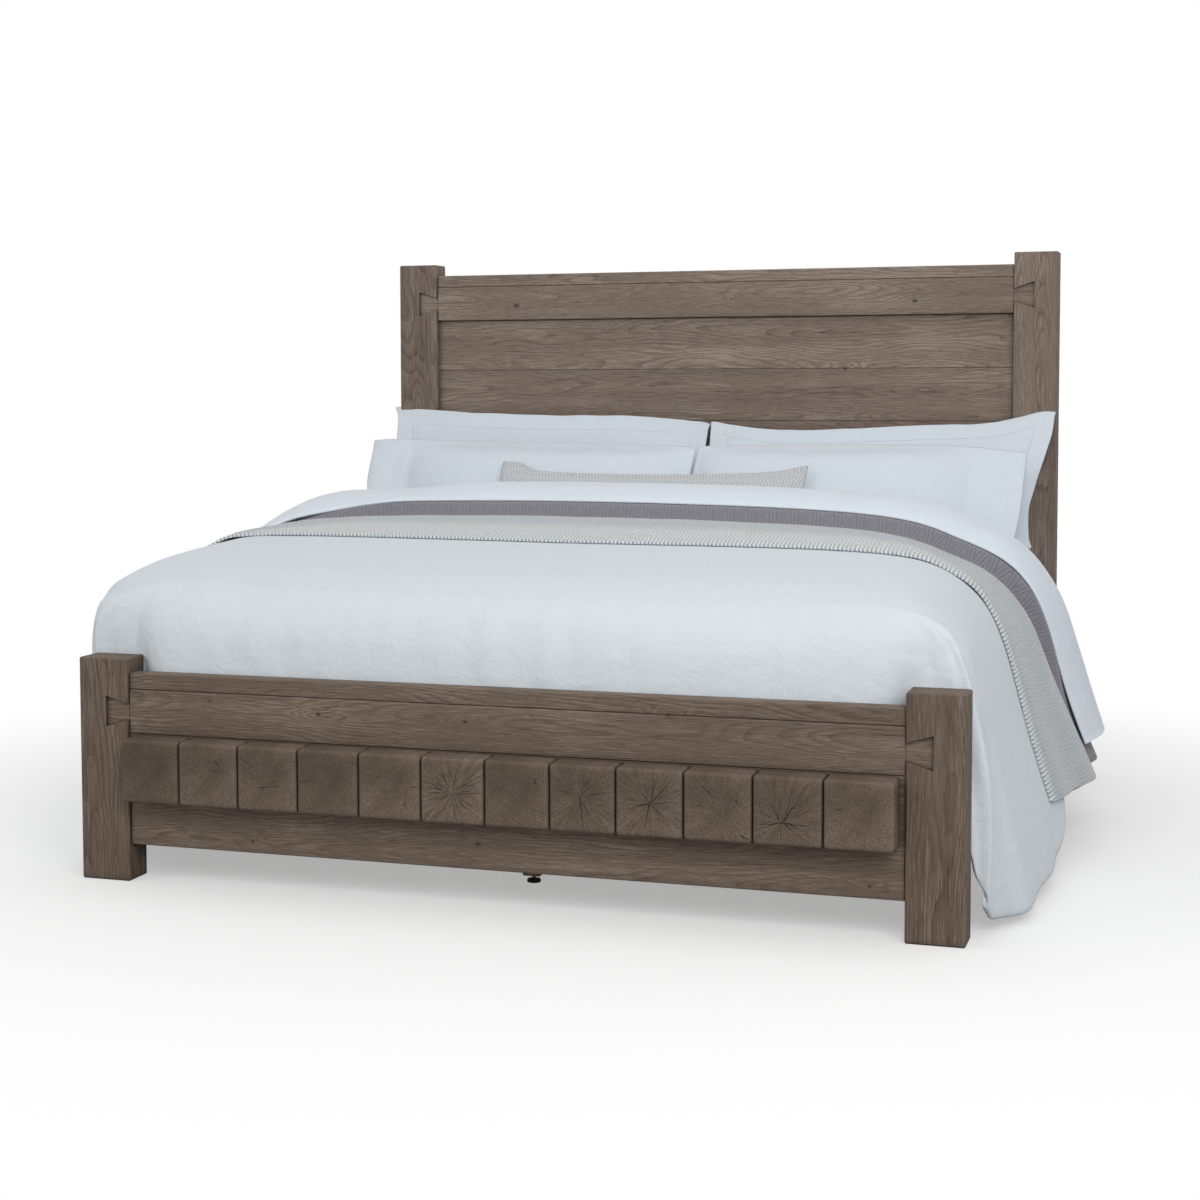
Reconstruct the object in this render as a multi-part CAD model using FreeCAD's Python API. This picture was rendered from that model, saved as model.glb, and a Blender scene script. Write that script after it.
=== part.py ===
import FreeCAD, Part
import math
import os

# King-size poster bed, dressed for sleep.
# Millimetres. +Z is up and Z 0 is the floor, -Y is the foot end, +Y is the head end, X 0 is the middle.

# Driving sizes of the bed frame
OVERALL_WIDTH = 2134.0          # over the outer faces of the posts
FRAME_LENGTH = 2220.0           # front of the foot posts to back of the head posts
HEADBOARD_HEIGHT = 1590.0
FOOTBOARD_HEIGHT = 546.0
POST_WIDTH = 130.0
POST_DEPTH = 89.0
POST_EASE = 3.0                 # small bevel that takes the sharp edge off
BOARD_EASE = 2.5
RECESS = 10.0                   # rails lie this far behind the post faces

# Footboard
FOOT_BOTTOM_RAIL = (90.0, 199.0)
FOOT_TAIL_RAIL = (362.0, 470.0)
FOOT_CAP_TOP = 510.0
FOOT_RAIL_THICKNESS = 40.0
FOOT_CAP_SETBACK = 2.0
FOOT_CAP_DEPTH = 46.0
BACKER_THICKNESS = 18.0
BLOCK_COUNT = 12
BLOCK_PITCH = 154.1
BLOCK_WIDTH = 152.0
BLOCK_HEIGHT = 152.0
BLOCK_BOTTOM = 208.0
BLOCK_PROUD = 62.0              # end-grain blocks stand this far in front of the posts
BLOCK_DEPTH = 74.0
BLOCK_ROUNDING = 8.0
ROUNDING_STEPS = 3              # flats that make up each quarter of a rounding

# Headboard
HEAD_TAIL_RAIL = (1406.0, 1516.0)
HEAD_CAP_TOP = 1554.0
HEAD_RAIL_THICKNESS = 45.0
HEAD_CAP_SETBACK = 2.0
HEAD_CAP_DEPTH = 60.0
HEAD_BOTTOM_RAIL = (470.0, 581.0)
HEAD_BOTTOM_RAIL_THICKNESS = 40.0
PLANK_COUNT = 5
PLANK_THICKNESS = 22.0
PLANK_SETBACK = 15.0            # planks lie this far behind the rail's face
PLANK_EASE = 2.0
TONGUE_HEIGHT = 7.0
TONGUE_THICKNESS = 7.0
GROOVE_PLAY = 0.5
PANEL_HOUSING = 12.0            # how far planks and backer enter the posts
BATTEN_WIDTH = 90.0
BATTEN_THICKNESS = 20.0
BATTEN_END_GAP = 10.0

# Dovetails that let the rails into the faces of the posts
TAIL_THICKNESS = 28.0
HEAD_TAIL_NECK = 39.0
HEAD_TAIL_END = 80.0
HEAD_TAIL_LENGTH = 61.0
FOOT_TAIL_NECK = 40.0
FOOT_TAIL_END = 76.0
FOOT_TAIL_LENGTH = 59.0
TENON_LENGTH = 35.0
TENON_THICKNESS = 16.0
TENON_SHOULDER = 15.0

# Side rails, slats and centre legs
SIDE_RAIL_INNER = 972.0
SIDE_RAIL_THICKNESS = 28.0
SIDE_RAIL = (150.0, 350.0)
LEDGER_SIZE = 32.0
LEDGER_END_GAP = 45.0
SLAT_COUNT = 4
SLAT_WIDTH = 90.0
SLAT_THICKNESS = 22.0
SLAT_END_PLAY = 2.0
SLAT_FIRST = 300.0              # from the foot post's front face to the first slat's middle
SLAT_SPACING = 520.0
LEG_SIDE = 45.0
LEG_CLEARANCE = 18.0            # wooden leg's end above the floor
LEG_TENON_SIDE = 22.0
SCREW_SIDES = 8
SCREW_RADIUS = 2.4
SCREW_HEAD_RADIUS = 4.6
SCREW_HEAD_HEIGHT = 3.0
SCREW_POINT = 5.0
SCREW_LENGTH = 40.0
GLIDE_RADIUS = 17.0             # across the corners of the finger-grip disc
GLIDE_SIDES = 12
GLIDE_HEIGHT = 8.0
GLIDE_BEVEL = 1.5
STEM_RADIUS = 4.0
STEM_TOP = 52.0
STEM_PLAY = 0.1
STEM_HOLE_TOP = 64.0            # leaves the stem 8 mm of travel up and room at the end

# Steel hook plates on the rail ends, and their slotted plates in the posts
HOOK_PLATE_THICKNESS = 3.0
HOOK_PLATE_BAND = (185.0, 315.0)
HOOK_PLATE_INSET = 60.0
HOOK_REACH = 15.0
HOOK_HEIGHT = 34.0
HOOK_NECK = 16.0
HOOK_THROAT = 5.0
HOOK_LEAD = 4.0                 # bevels that guide the hooks into their slots
HOOK_SPACING = 76.0
SLOT_PLATE_WIDTH = 22.0
SLOT_PLATE_HEIGHT = 150.0
SLOT_PLATE_THICKNESS = 3.0
SLOT_PLAY = 0.6

# Foundation and mattress, standard king size
MATTRESS_WIDTH = 1930.0
MATTRESS_LENGTH = 2032.0
FOUNDATION_TOP = 434.0
MATTRESS_BOTTOM = 436.0
MATTRESS_TOP = 690.0
MATTRESS_EDGE = 55.0
MATTRESS_CORNER = 75.0
FOUNDATION_EDGE = 12.0

# Places that follow from the sizes above
HALF_WIDTH = OVERALL_WIDTH / 2
POST_INNER = HALF_WIDTH - POST_WIDTH
FOOT_FACE = -(FRAME_LENGTH + BLOCK_PROUD) / 2 + BLOCK_PROUD
FOOT_POST_BACK = FOOT_FACE + POST_DEPTH
HEAD_BACK = FOOT_FACE + FRAME_LENGTH
HEAD_POST_FACE = HEAD_BACK - POST_DEPTH
FOOT_RAIL_FACE = FOOT_FACE + RECESS
HEAD_RAIL_FACE = HEAD_POST_FACE + RECESS
PLANK_FACE = HEAD_RAIL_FACE + PLANK_SETBACK
BLOCK_BACK = FOOT_FACE - BLOCK_PROUD + BLOCK_DEPTH
LEDGER_TOP = SIDE_RAIL[0] + LEDGER_SIZE
SLAT_TOP = LEDGER_TOP + SLAT_THICKNESS
RAIL_MIDDLE = SIDE_RAIL_INNER + SIDE_RAIL_THICKNESS / 2
MATTRESS_FOOT = FOOT_POST_BACK + (HEAD_POST_FACE - FOOT_POST_BACK - MATTRESS_LENGTH) / 2
SIDES = {"left": -1.0, "right": 1.0}


def vec(x, y, z):
    return FreeCAD.Vector(x, y, z)


def save(name, shape):
    shape.exportStep("parts/" + name + ".step")
    print(name, "valid", shape.isValid(), "volume", round(shape.Volume))


def block(x, y, z):
    """A box from three (low, high) pairs."""
    return Part.makeBox(x[1] - x[0], y[1] - y[0], z[1] - z[0], vec(x[0], y[0], z[0]))


def eased(shape, size):
    return shape.makeChamfer(size, shape.Edges)


def prism_xz(points, y):
    """A prism along Y from an outline in X and Z."""
    wire = Part.makePolygon([vec(px, y[0], pz) for px, pz in points + points[:1]])
    return Part.Face(wire).extrude(vec(0, y[1] - y[0], 0))


def prism_yz(points, x):
    """A prism along X from an outline in Y and Z."""
    wire = Part.makePolygon([vec(x[0], py, pz) for py, pz in points + points[:1]])
    return Part.Face(wire).extrude(vec(x[1] - x[0], 0, 0))


def rounded_outline(width, depth, corner):
    """Points round a rectangle about the origin, each corner a quarter circle in equal flats."""
    points = []
    for turn, (sx, sy) in enumerate(((1, 1), (-1, 1), (-1, -1), (1, -1))):
        for step in range(ROUNDING_STEPS + 1):
            angle = math.radians(90.0 * (turn + step / ROUNDING_STEPS))
            points.append((sx * (width / 2 - corner) + corner * math.cos(angle),
                           sy * (depth / 2 - corner) + corner * math.sin(angle)))
    return points


def ring(points):
    return Part.makePolygon(points + points[:1])


def stacked(levels):
    """A solid through outlines of equally many points, each (points in X and Y, height).

    Every outline keeps its sides parallel to those of the next, so the skin is made of flat faces.
    """
    rings = [[vec(x, y, z) for x, y in points] for points, z in levels]
    faces = [Part.Face(ring(rings[0])), Part.Face(ring(rings[-1]))]
    for lower, upper in zip(rings, rings[1:]):
        for i in range(len(lower)):
            faces.append(Part.Face(ring([lower[i - 1], lower[i], upper[i], upper[i - 1]])))
    shell = Part.makeShell(faces)
    shell.sewShape()
    solid = Part.Solid(shell)
    if solid.Volume < 0:
        solid.reverse()
    return solid


def rounding_steps(radius):
    """(inset, depth) pairs that take an edge round a quarter circle of this radius."""
    angles = [math.radians(90.0 * step / ROUNDING_STEPS) for step in range(ROUNDING_STEPS + 1)]
    return [(radius * (1 - math.sin(a)), radius * (1 - math.cos(a))) for a in angles]


# Dovetails

def tail(side, middle, neck, end, length, y):
    """One dovetail pointing outwards from the inner side of a post."""
    root = side * POST_INNER
    tip = side * (POST_INNER + length)
    outline = [(root, middle - neck / 2), (tip, middle - end / 2),
               (tip, middle + end / 2), (root, middle + neck / 2)]
    return prism_xz(outline, y)


def head_tail(side, y):
    middle = sum(HEAD_TAIL_RAIL) / 2
    return tail(side, middle, HEAD_TAIL_NECK, HEAD_TAIL_END, HEAD_TAIL_LENGTH, y)


def foot_tail(side, y):
    middle = sum(FOOT_TAIL_RAIL) / 2
    return tail(side, middle, FOOT_TAIL_NECK, FOOT_TAIL_END, FOOT_TAIL_LENGTH, y)


def tailed_rail(tail_of, band, face, thickness):
    """A rail whose face half runs on into both posts as dovetails."""
    rail = eased(block((-POST_INNER, POST_INNER), (face, face + thickness), band), BOARD_EASE)
    for side in SIDES.values():
        root = block(sorted((side * POST_INNER, side * (POST_INNER - 2 * BOARD_EASE))),
                     (face + BOARD_EASE, face + thickness - BOARD_EASE),
                     (band[0] + BOARD_EASE, band[1] - BOARD_EASE))
        rail = rail.fuse([root, tail_of(side, (face, face + TAIL_THICKNESS))])
    return rail.removeSplitter()


# Tenons of the plain rails

def tenon(side, y_middle, band):
    root = side * POST_INNER
    return block(sorted((root, root + side * TENON_LENGTH)),
                 (y_middle - TENON_THICKNESS / 2, y_middle + TENON_THICKNESS / 2),
                 (band[0] + TENON_SHOULDER, band[1] - TENON_SHOULDER))


def tenoned_rail(band, face, thickness):
    rail = eased(block((-POST_INNER, POST_INNER), (face, face + thickness), band), BOARD_EASE)
    for side in SIDES.values():
        root = block(sorted((side * POST_INNER, side * (POST_INNER - 2 * BOARD_EASE))),
                     (face + BOARD_EASE, face + thickness - BOARD_EASE),
                     (band[0] + BOARD_EASE, band[1] - BOARD_EASE))
        rail = rail.fuse([root, tenon(side, face + thickness / 2, band)])
    return rail.removeSplitter()


# Rail fittings, drawn at the foot end and mirrored for the head end

def hook_centres():
    middle = sum(HOOK_PLATE_BAND) / 2
    return [middle - HOOK_SPACING / 2, middle + HOOK_SPACING / 2]


def hook_plate(side):
    """A flat plate in the rail's end with two hooks that drop behind the slotted plate."""
    low, high = HOOK_PLATE_BAND
    face = FOOT_POST_BACK
    tip = face - HOOK_REACH
    throat = face - HOOK_THROAT
    outline = [(face + HOOK_PLATE_INSET, low), (face, low)]
    for middle in hook_centres():
        foot = middle - HOOK_HEIGHT / 2
        top = middle + HOOK_HEIGHT / 2
        outline += [(face, top - HOOK_NECK), (throat, top - HOOK_NECK), (throat, foot + HOOK_LEAD),
                    (throat - HOOK_LEAD, foot), (tip, foot + HOOK_LEAD), (tip, top - HOOK_LEAD),
                    (tip + HOOK_LEAD, top), (face, top)]
    outline += [(face, high), (face + HOOK_PLATE_INSET, high)]
    middle_x = side * RAIL_MIDDLE
    return prism_yz(outline, (middle_x - HOOK_PLATE_THICKNESS / 2, middle_x + HOOK_PLATE_THICKNESS / 2))


def hook_plate_kerf(side):
    """The saw cut in the rail's end that the hook plate is pinned into."""
    middle_x = side * RAIL_MIDDLE
    half = HOOK_PLATE_THICKNESS / 2
    return block((middle_x - half, middle_x + half), (FOOT_POST_BACK, FOOT_POST_BACK + HOOK_PLATE_INSET),
                 HOOK_PLATE_BAND)


def slot_plate(side):
    middle_x = side * RAIL_MIDDLE
    middle_z = sum(HOOK_PLATE_BAND) / 2
    plate = block((middle_x - SLOT_PLATE_WIDTH / 2, middle_x + SLOT_PLATE_WIDTH / 2),
                  (FOOT_POST_BACK - SLOT_PLATE_THICKNESS, FOOT_POST_BACK),
                  (middle_z - SLOT_PLATE_HEIGHT / 2, middle_z + SLOT_PLATE_HEIGHT / 2))
    return plate.cut(hook_slots(side, SLOT_PLATE_THICKNESS))


def hook_slots(side, depth):
    middle_x = side * RAIL_MIDDLE
    half = HOOK_PLATE_THICKNESS / 2 + SLOT_PLAY
    slots = [block((middle_x - half, middle_x + half), (FOOT_POST_BACK - depth, FOOT_POST_BACK),
                   (z - HOOK_HEIGHT / 2 - 2.0, z + HOOK_HEIGHT / 2 + 2.0)) for z in hook_centres()]
    return Part.makeCompound(slots)


def slot_plate_pocket(side):
    """Plate recess and hook mortises, cut into a foot post."""
    middle_x = side * RAIL_MIDDLE
    middle_z = sum(HOOK_PLATE_BAND) / 2
    recess = block((middle_x - SLOT_PLATE_WIDTH / 2, middle_x + SLOT_PLATE_WIDTH / 2),
                   (FOOT_POST_BACK - SLOT_PLATE_THICKNESS, FOOT_POST_BACK),
                   (middle_z - SLOT_PLATE_HEIGHT / 2, middle_z + SLOT_PLATE_HEIGHT / 2))
    return recess.fuse(hook_slots(side, HOOK_REACH + 2.0).Solids)


def at_head_end(shape):
    """The same fitting, mirrored to the head posts."""
    middle = (FOOT_POST_BACK + HEAD_POST_FACE) / 2
    return shape.mirror(vec(0, middle, 0), vec(0, 1, 0))


# Posts

def foot_post(side):
    post = eased(block(sorted((side * POST_INNER, side * HALF_WIDTH)), (FOOT_FACE, FOOT_POST_BACK),
                       (0.0, FOOTBOARD_HEIGHT)), POST_EASE)
    socket = foot_tail(side, (FOOT_FACE, FOOT_RAIL_FACE + TAIL_THICKNESS))
    housing = block(sorted((side * POST_INNER, side * (POST_INNER + PANEL_HOUSING))),
                    (BLOCK_BACK, BLOCK_BACK + BACKER_THICKNESS), (FOOT_BOTTOM_RAIL[1], FOOT_TAIL_RAIL[0]))
    mortise = tenon(side, FOOT_RAIL_FACE + FOOT_RAIL_THICKNESS / 2, FOOT_BOTTOM_RAIL)
    return post.cut([socket, housing, mortise, slot_plate_pocket(side)])


def head_post(side):
    post = eased(block(sorted((side * POST_INNER, side * HALF_WIDTH)), (HEAD_POST_FACE, HEAD_BACK),
                       (0.0, HEADBOARD_HEIGHT)), POST_EASE)
    socket = head_tail(side, (HEAD_POST_FACE, HEAD_RAIL_FACE + TAIL_THICKNESS))
    groove = block(sorted((side * POST_INNER, side * (POST_INNER + PANEL_HOUSING))),
                   (PLANK_FACE, PLANK_FACE + PLANK_THICKNESS),
                   (HEAD_BOTTOM_RAIL[1], HEAD_TAIL_RAIL[0] + TONGUE_HEIGHT))
    mortise = tenon(side, bottom_rail_face() + HEAD_BOTTOM_RAIL_THICKNESS / 2, HEAD_BOTTOM_RAIL)
    return post.cut([socket, groove, mortise, at_head_end(slot_plate_pocket(side))])


# Headboard

def bottom_rail_face():
    return PLANK_FACE + PLANK_THICKNESS / 2 - HEAD_BOTTOM_RAIL_THICKNESS / 2


def tongue(z, play):
    """The tongue that stands on a board's top edge at height z."""
    middle = PLANK_FACE + PLANK_THICKNESS / 2
    half = TONGUE_THICKNESS / 2 + play
    return block((-POST_INNER - PANEL_HOUSING, POST_INNER + PANEL_HOUSING), (middle - half, middle + half),
                 (z - 1.0, z + TONGUE_HEIGHT + play))


def plank(low, high):
    """A tongued and grooved board; its bevelled edges leave a fine line between neighbours."""
    front = PLANK_FACE
    back = PLANK_FACE + PLANK_THICKNESS
    ease = PLANK_EASE
    outline = [(front + ease, low), (back - ease, low), (back, low + ease), (back, high - ease),
               (back - ease, high), (front + ease, high), (front, high - ease), (front, low + ease)]
    reach = POST_INNER + PANEL_HOUSING
    board = prism_yz(outline, (-reach, reach)).cut(tongue(low, GROOVE_PLAY))
    return board.fuse(tongue(high, 0.0)).removeSplitter()


def headboard():
    for name, side in SIDES.items():
        save("headboard_post_" + name, head_post(side))
    rail = tailed_rail(head_tail, HEAD_TAIL_RAIL, HEAD_RAIL_FACE, HEAD_RAIL_THICKNESS)
    save("headboard_dovetail_rail", rail.cut(tongue(HEAD_TAIL_RAIL[0], GROOVE_PLAY)))
    cap_face = HEAD_RAIL_FACE + HEAD_CAP_SETBACK
    cap = block((-POST_INNER, POST_INNER), (cap_face, cap_face + HEAD_CAP_DEPTH),
                (HEAD_TAIL_RAIL[1], HEAD_CAP_TOP))
    save("headboard_cap", eased(cap, BOARD_EASE))
    plank_height = (HEAD_TAIL_RAIL[0] - HEAD_BOTTOM_RAIL[1]) / PLANK_COUNT
    for number in range(PLANK_COUNT):
        top = HEAD_TAIL_RAIL[0] - number * plank_height
        save("headboard_plank_%d" % (number + 1), plank(top - plank_height, top))
    lower = tenoned_rail(HEAD_BOTTOM_RAIL, bottom_rail_face(), HEAD_BOTTOM_RAIL_THICKNESS)
    rail_tongue = tongue(HEAD_BOTTOM_RAIL[1], 0.0)
    between_posts = block((-POST_INNER, POST_INNER), (HEAD_POST_FACE, HEAD_BACK), (0.0, HEAD_CAP_TOP))
    lower = lower.fuse(rail_tongue.common(between_posts)).removeSplitter()
    save("headboard_bottom_rail", lower)
    back = PLANK_FACE + PLANK_THICKNESS
    batten = block((-BATTEN_WIDTH / 2, BATTEN_WIDTH / 2), (back, back + BATTEN_THICKNESS),
                   (HEAD_BOTTOM_RAIL[1] + BATTEN_END_GAP, HEAD_TAIL_RAIL[0] - BATTEN_END_GAP))
    save("headboard_back_batten", eased(batten, BOARD_EASE))


# Footboard

def end_grain_block(number):
    """A squared log end, rounded over on its face and its four long edges."""
    middle = (number - (BLOCK_COUNT - 1) / 2) * BLOCK_PITCH
    front = FOOT_FACE - BLOCK_PROUD
    levels = []
    for inset, depth in rounding_steps(BLOCK_ROUNDING):
        outline = rounded_outline(BLOCK_WIDTH - 2 * inset, BLOCK_HEIGHT - 2 * inset, BLOCK_ROUNDING)
        levels.append((outline, -depth))
    levels.append((outline, -BLOCK_DEPTH))
    body = stacked(levels)
    body.rotate(vec(0, 0, 0), vec(1, 0, 0), 90)
    body.translate(vec(middle, front, BLOCK_BOTTOM + BLOCK_HEIGHT / 2))
    return body


def footboard():
    for name, side in SIDES.items():
        save("footboard_post_" + name, foot_post(side))
    rail = tailed_rail(foot_tail, FOOT_TAIL_RAIL, FOOT_RAIL_FACE, FOOT_RAIL_THICKNESS)
    save("footboard_dovetail_rail", rail)
    cap_face = FOOT_RAIL_FACE + FOOT_CAP_SETBACK
    cap = block((-POST_INNER, POST_INNER), (cap_face, cap_face + FOOT_CAP_DEPTH),
                (FOOT_TAIL_RAIL[1], FOOT_CAP_TOP))
    save("footboard_cap", eased(cap, BOARD_EASE))
    save("footboard_bottom_rail", tenoned_rail(FOOT_BOTTOM_RAIL, FOOT_RAIL_FACE, FOOT_RAIL_THICKNESS))
    reach = POST_INNER + PANEL_HOUSING
    save("footboard_backer_board", block((-reach, reach), (BLOCK_BACK, BLOCK_BACK + BACKER_THICKNESS),
                                         (FOOT_BOTTOM_RAIL[1], FOOT_TAIL_RAIL[0])))
    for number in range(BLOCK_COUNT):
        save("footboard_block_%02d" % (number + 1), end_grain_block(number))


# Side rails, slats, centre legs and their levelling glides

def side_rail(side):
    rail = eased(block(sorted((side * SIDE_RAIL_INNER, side * (SIDE_RAIL_INNER + SIDE_RAIL_THICKNESS))),
                       (FOOT_POST_BACK, HEAD_POST_FACE), SIDE_RAIL), BOARD_EASE)
    return rail.cut([hook_plate_kerf(side), at_head_end(hook_plate_kerf(side))])


def ledger(side):
    return block(sorted((side * SIDE_RAIL_INNER, side * (SIDE_RAIL_INNER - LEDGER_SIZE))),
                 (FOOT_POST_BACK + LEDGER_END_GAP, HEAD_POST_FACE - LEDGER_END_GAP),
                 (SIDE_RAIL[0], LEDGER_TOP))


def slat_middles():
    return [FOOT_FACE + SLAT_FIRST + number * SLAT_SPACING for number in range(SLAT_COUNT)]


def polygon(radius, sides):
    turns = [2 * math.pi * step / sides for step in range(sides)]
    return [(radius * math.cos(a), radius * math.sin(a)) for a in turns]


def slat_screw(x, y):
    """A countersunk screw, its head level with the slat's top."""
    shank = polygon(SCREW_RADIUS, SCREW_SIDES)
    screw = stacked([(polygon(0.4, SCREW_SIDES), -SCREW_LENGTH), (shank, SCREW_POINT - SCREW_LENGTH),
                     (shank, -SCREW_HEAD_HEIGHT), (polygon(SCREW_HEAD_RADIUS, SCREW_SIDES), 0.0)])
    screw.translate(vec(x, y, SLAT_TOP))
    return screw


def slat_screws():
    inset = SIDE_RAIL_INNER - LEDGER_SIZE / 2
    return [slat_screw(side * inset, y) for y in slat_middles() for side in SIDES.values()]


def leg_tenon(y):
    half = LEG_TENON_SIDE / 2
    return block((-half, half), (y - half, y + half), (LEDGER_TOP, SLAT_TOP))


def support_leg(y):
    half = LEG_SIDE / 2
    leg = eased(block((-half, half), (y - half, y + half), (LEG_CLEARANCE, LEDGER_TOP)), BOARD_EASE)
    root = block((-half + BOARD_EASE, half - BOARD_EASE), (y - half + BOARD_EASE, y + half - BOARD_EASE),
                 (LEDGER_TOP - BOARD_EASE, LEDGER_TOP))
    stem_hole = Part.makeCylinder(STEM_RADIUS + STEM_PLAY, STEM_HOLE_TOP - LEG_CLEARANCE,
                                  vec(0, y, LEG_CLEARANCE))
    return leg.fuse([root, leg_tenon(y)]).removeSplitter().cut(stem_hole)


def levelling_glide(y):
    """A twelve-sided foot disc that fingers can turn, on a stem that screws up into the leg."""
    rim = polygon(GLIDE_RADIUS, GLIDE_SIDES)
    bevelled = polygon(GLIDE_RADIUS - GLIDE_BEVEL, GLIDE_SIDES)
    disc = stacked([(bevelled, 0.0), (rim, GLIDE_BEVEL),
                    (rim, GLIDE_HEIGHT - GLIDE_BEVEL), (bevelled, GLIDE_HEIGHT)])
    glide = disc.fuse(Part.makeCylinder(STEM_RADIUS, STEM_TOP - GLIDE_BEVEL, vec(0, 0, GLIDE_BEVEL)))
    glide.translate(vec(0, y, 0))
    return glide


def undercarriage():
    screws = slat_screws()
    for name, side in SIDES.items():
        save("side_rail_" + name, side_rail(side))
        save("slat_ledger_" + name, ledger(side).cut(screws))
    reach = SIDE_RAIL_INNER - SLAT_END_PLAY
    for number, y in enumerate(slat_middles()):
        slat = block((-reach, reach), (y - SLAT_WIDTH / 2, y + SLAT_WIDTH / 2), (LEDGER_TOP, SLAT_TOP))
        save("slat_%d" % (number + 1), slat.cut(screws + [leg_tenon(y)]))
        save("support_leg_%d" % (number + 1), support_leg(y))
        save("levelling_glide_%d" % (number + 1), levelling_glide(y))
    save("slat_screws", Part.makeCompound(screws))
    plates = [hook_plate(side) for side in SIDES.values()]
    save("rail_hook_plates", Part.makeCompound(plates + [at_head_end(plate) for plate in plates]))
    slotted = [slot_plate(side) for side in SIDES.values()]
    save("post_slot_plates", Part.makeCompound(slotted + [at_head_end(plate) for plate in slotted]))


# Foundation and mattress

def upholstered_box(z, corner, edge):
    """A box with round upright corners, its top and bottom edges rolled over."""
    levels = []
    for inset, depth in rounding_steps(edge):
        outline = rounded_outline(MATTRESS_WIDTH - 2 * inset, MATTRESS_LENGTH - 2 * inset, corner)
        levels.append((outline, depth))
    lower = [(points, z[0] + depth) for points, depth in levels]
    upper = [(points, z[1] - depth) for points, depth in reversed(levels)]
    body = stacked(lower + upper)
    body.translate(vec(0, MATTRESS_FOOT + MATTRESS_LENGTH / 2, 0))
    return body


def mattress_set():
    save("box_spring", upholstered_box((SLAT_TOP, FOUNDATION_TOP), MATTRESS_CORNER, FOUNDATION_EDGE))
    save("mattress", upholstered_box((MATTRESS_BOTTOM, MATTRESS_TOP), MATTRESS_CORNER, MATTRESS_EDGE))


# Bedding. One row gives the duvet's outer surface across the bed at one distance from the foot posts'
# front faces: the height in the middle, then for the left and the right side the end of the flat top,
# the middle of the shoulder, the start of the drop and the hem, each as (distance from the middle, height).
DUVET_ROWS = [
    (62.0, 560.0, ((850.0, 556.0), (950.0, 553.0), (1000.0, 551.0), (1010.0, 110.0)),
                  ((850.0, 556.0), (950.0, 553.0), (1000.0, 551.0), (1010.0, 110.0))),
    (95.0, 672.0, ((860.0, 668.0), (1010.0, 650.0), (1062.0, 590.0), (1085.0, 110.0)),
                  ((855.0, 668.0), (990.0, 645.0), (1045.0, 580.0), (1075.0, 110.0))),
    (150.0, 722.0, ((870.0, 718.0), (1020.0, 705.0), (1087.0, 622.0), (1135.0, 45.0)),
                   ((850.0, 716.0), (985.0, 685.0), (1055.0, 590.0), (1125.0, 45.0))),
    (300.0, 752.0, ((880.0, 746.0), (1030.0, 733.0), (1105.0, 640.0), (1180.0, 25.0)),
                   ((800.0, 748.0), (965.0, 706.0), (1050.0, 595.0), (1180.0, 25.0))),
    (500.0, 770.0, ((890.0, 762.0), (1045.0, 748.0), (1125.0, 655.0), (1200.0, 35.0)),
                   ((760.0, 764.0), (950.0, 718.0), (1045.0, 600.0), (1200.0, 35.0))),
    (800.0, 784.0, ((900.0, 774.0), (1070.0, 757.0), (1145.0, 650.0), (1215.0, 50.0)),
                   ((700.0, 777.0), (930.0, 727.0), (1038.0, 605.0), (1210.0, 50.0))),
    (1250.0, 810.0, ((850.0, 798.0), (1040.0, 770.0), (1130.0, 650.0), (1233.2, 70.0)),
                    ((600.0, 790.0), (865.0, 728.0), (1022.0, 622.0), (1272.0, 70.0))),
    (1600.0, 814.0, ((850.0, 800.0), (1030.0, 770.0), (1120.0, 650.0), (1233.2, 70.0)),
                    ((600.0, 794.0), (865.0, 732.0), (1024.0, 630.0), (1272.0, 70.0))),
]
DROP_FOLD_ROWS = (200.0, 400.0, 600.0, 700.0)
DROP_FOLD_DEPTH = 14.0
BEND_STEPS = 4                  # straight steps round each shoulder
LAYER_ROWS = (860.0, 1310.0, 1470.0, 1560.0)
DUVET_SKIRT = 30.0              # thickness of the duvet in the side drop
DUVET_LINING = ((900.0, 693.0), (951.0, 677.0), (969.0, 630.0))
DUVET_FOOT = 62.0               # the duvet goes down between footboard and mattress from here
FOOT_TUCK_BOTTOM = 430.0
POST_CLEARANCE = 3.0
LINING_FOOT_ROWS = ((91.0, 652.0), (100.0, 667.0), (110.0, 680.0), (120.0, 688.0), (150.0, 695.0))
DUVET_HEAD = 1600.0
DUVET_RAISED_HEM = (850.0, 1600.0)      # from the foot corners' low lobes the hem rises towards the head
DUVET_RAISED_HEM_HEIGHTS = (40.0, 155.0, 165.0, 168.0, 170.0)
HEM_OVERRUN = 5.0
LINING_HEAD = 1599.5

BLANKET_LAYER = (1.5, 5.5)      # offsets from the duvet's surface, inner and outer
BLANKET_SPAN = (860.0, 1560.0)
BLANKET_HEM = (150.0, 126.0)
THROW_LAYER = (6.5, 18.5)
THROW_SPAN = (800.0, 1250.0)
THROW_HEM = (168.0, 145.0)
TURNDOWN_INNER = 7.0
TURNDOWN_ROWS = ((1310.0, 47.0), (1470.0, 98.0), (1600.0, 60.0))
TURNDOWN_HEM = 240.0
TURNDOWN_SKIRT = 38.0


def blend(first, second, t):
    return first + (second - first) * t


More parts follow.
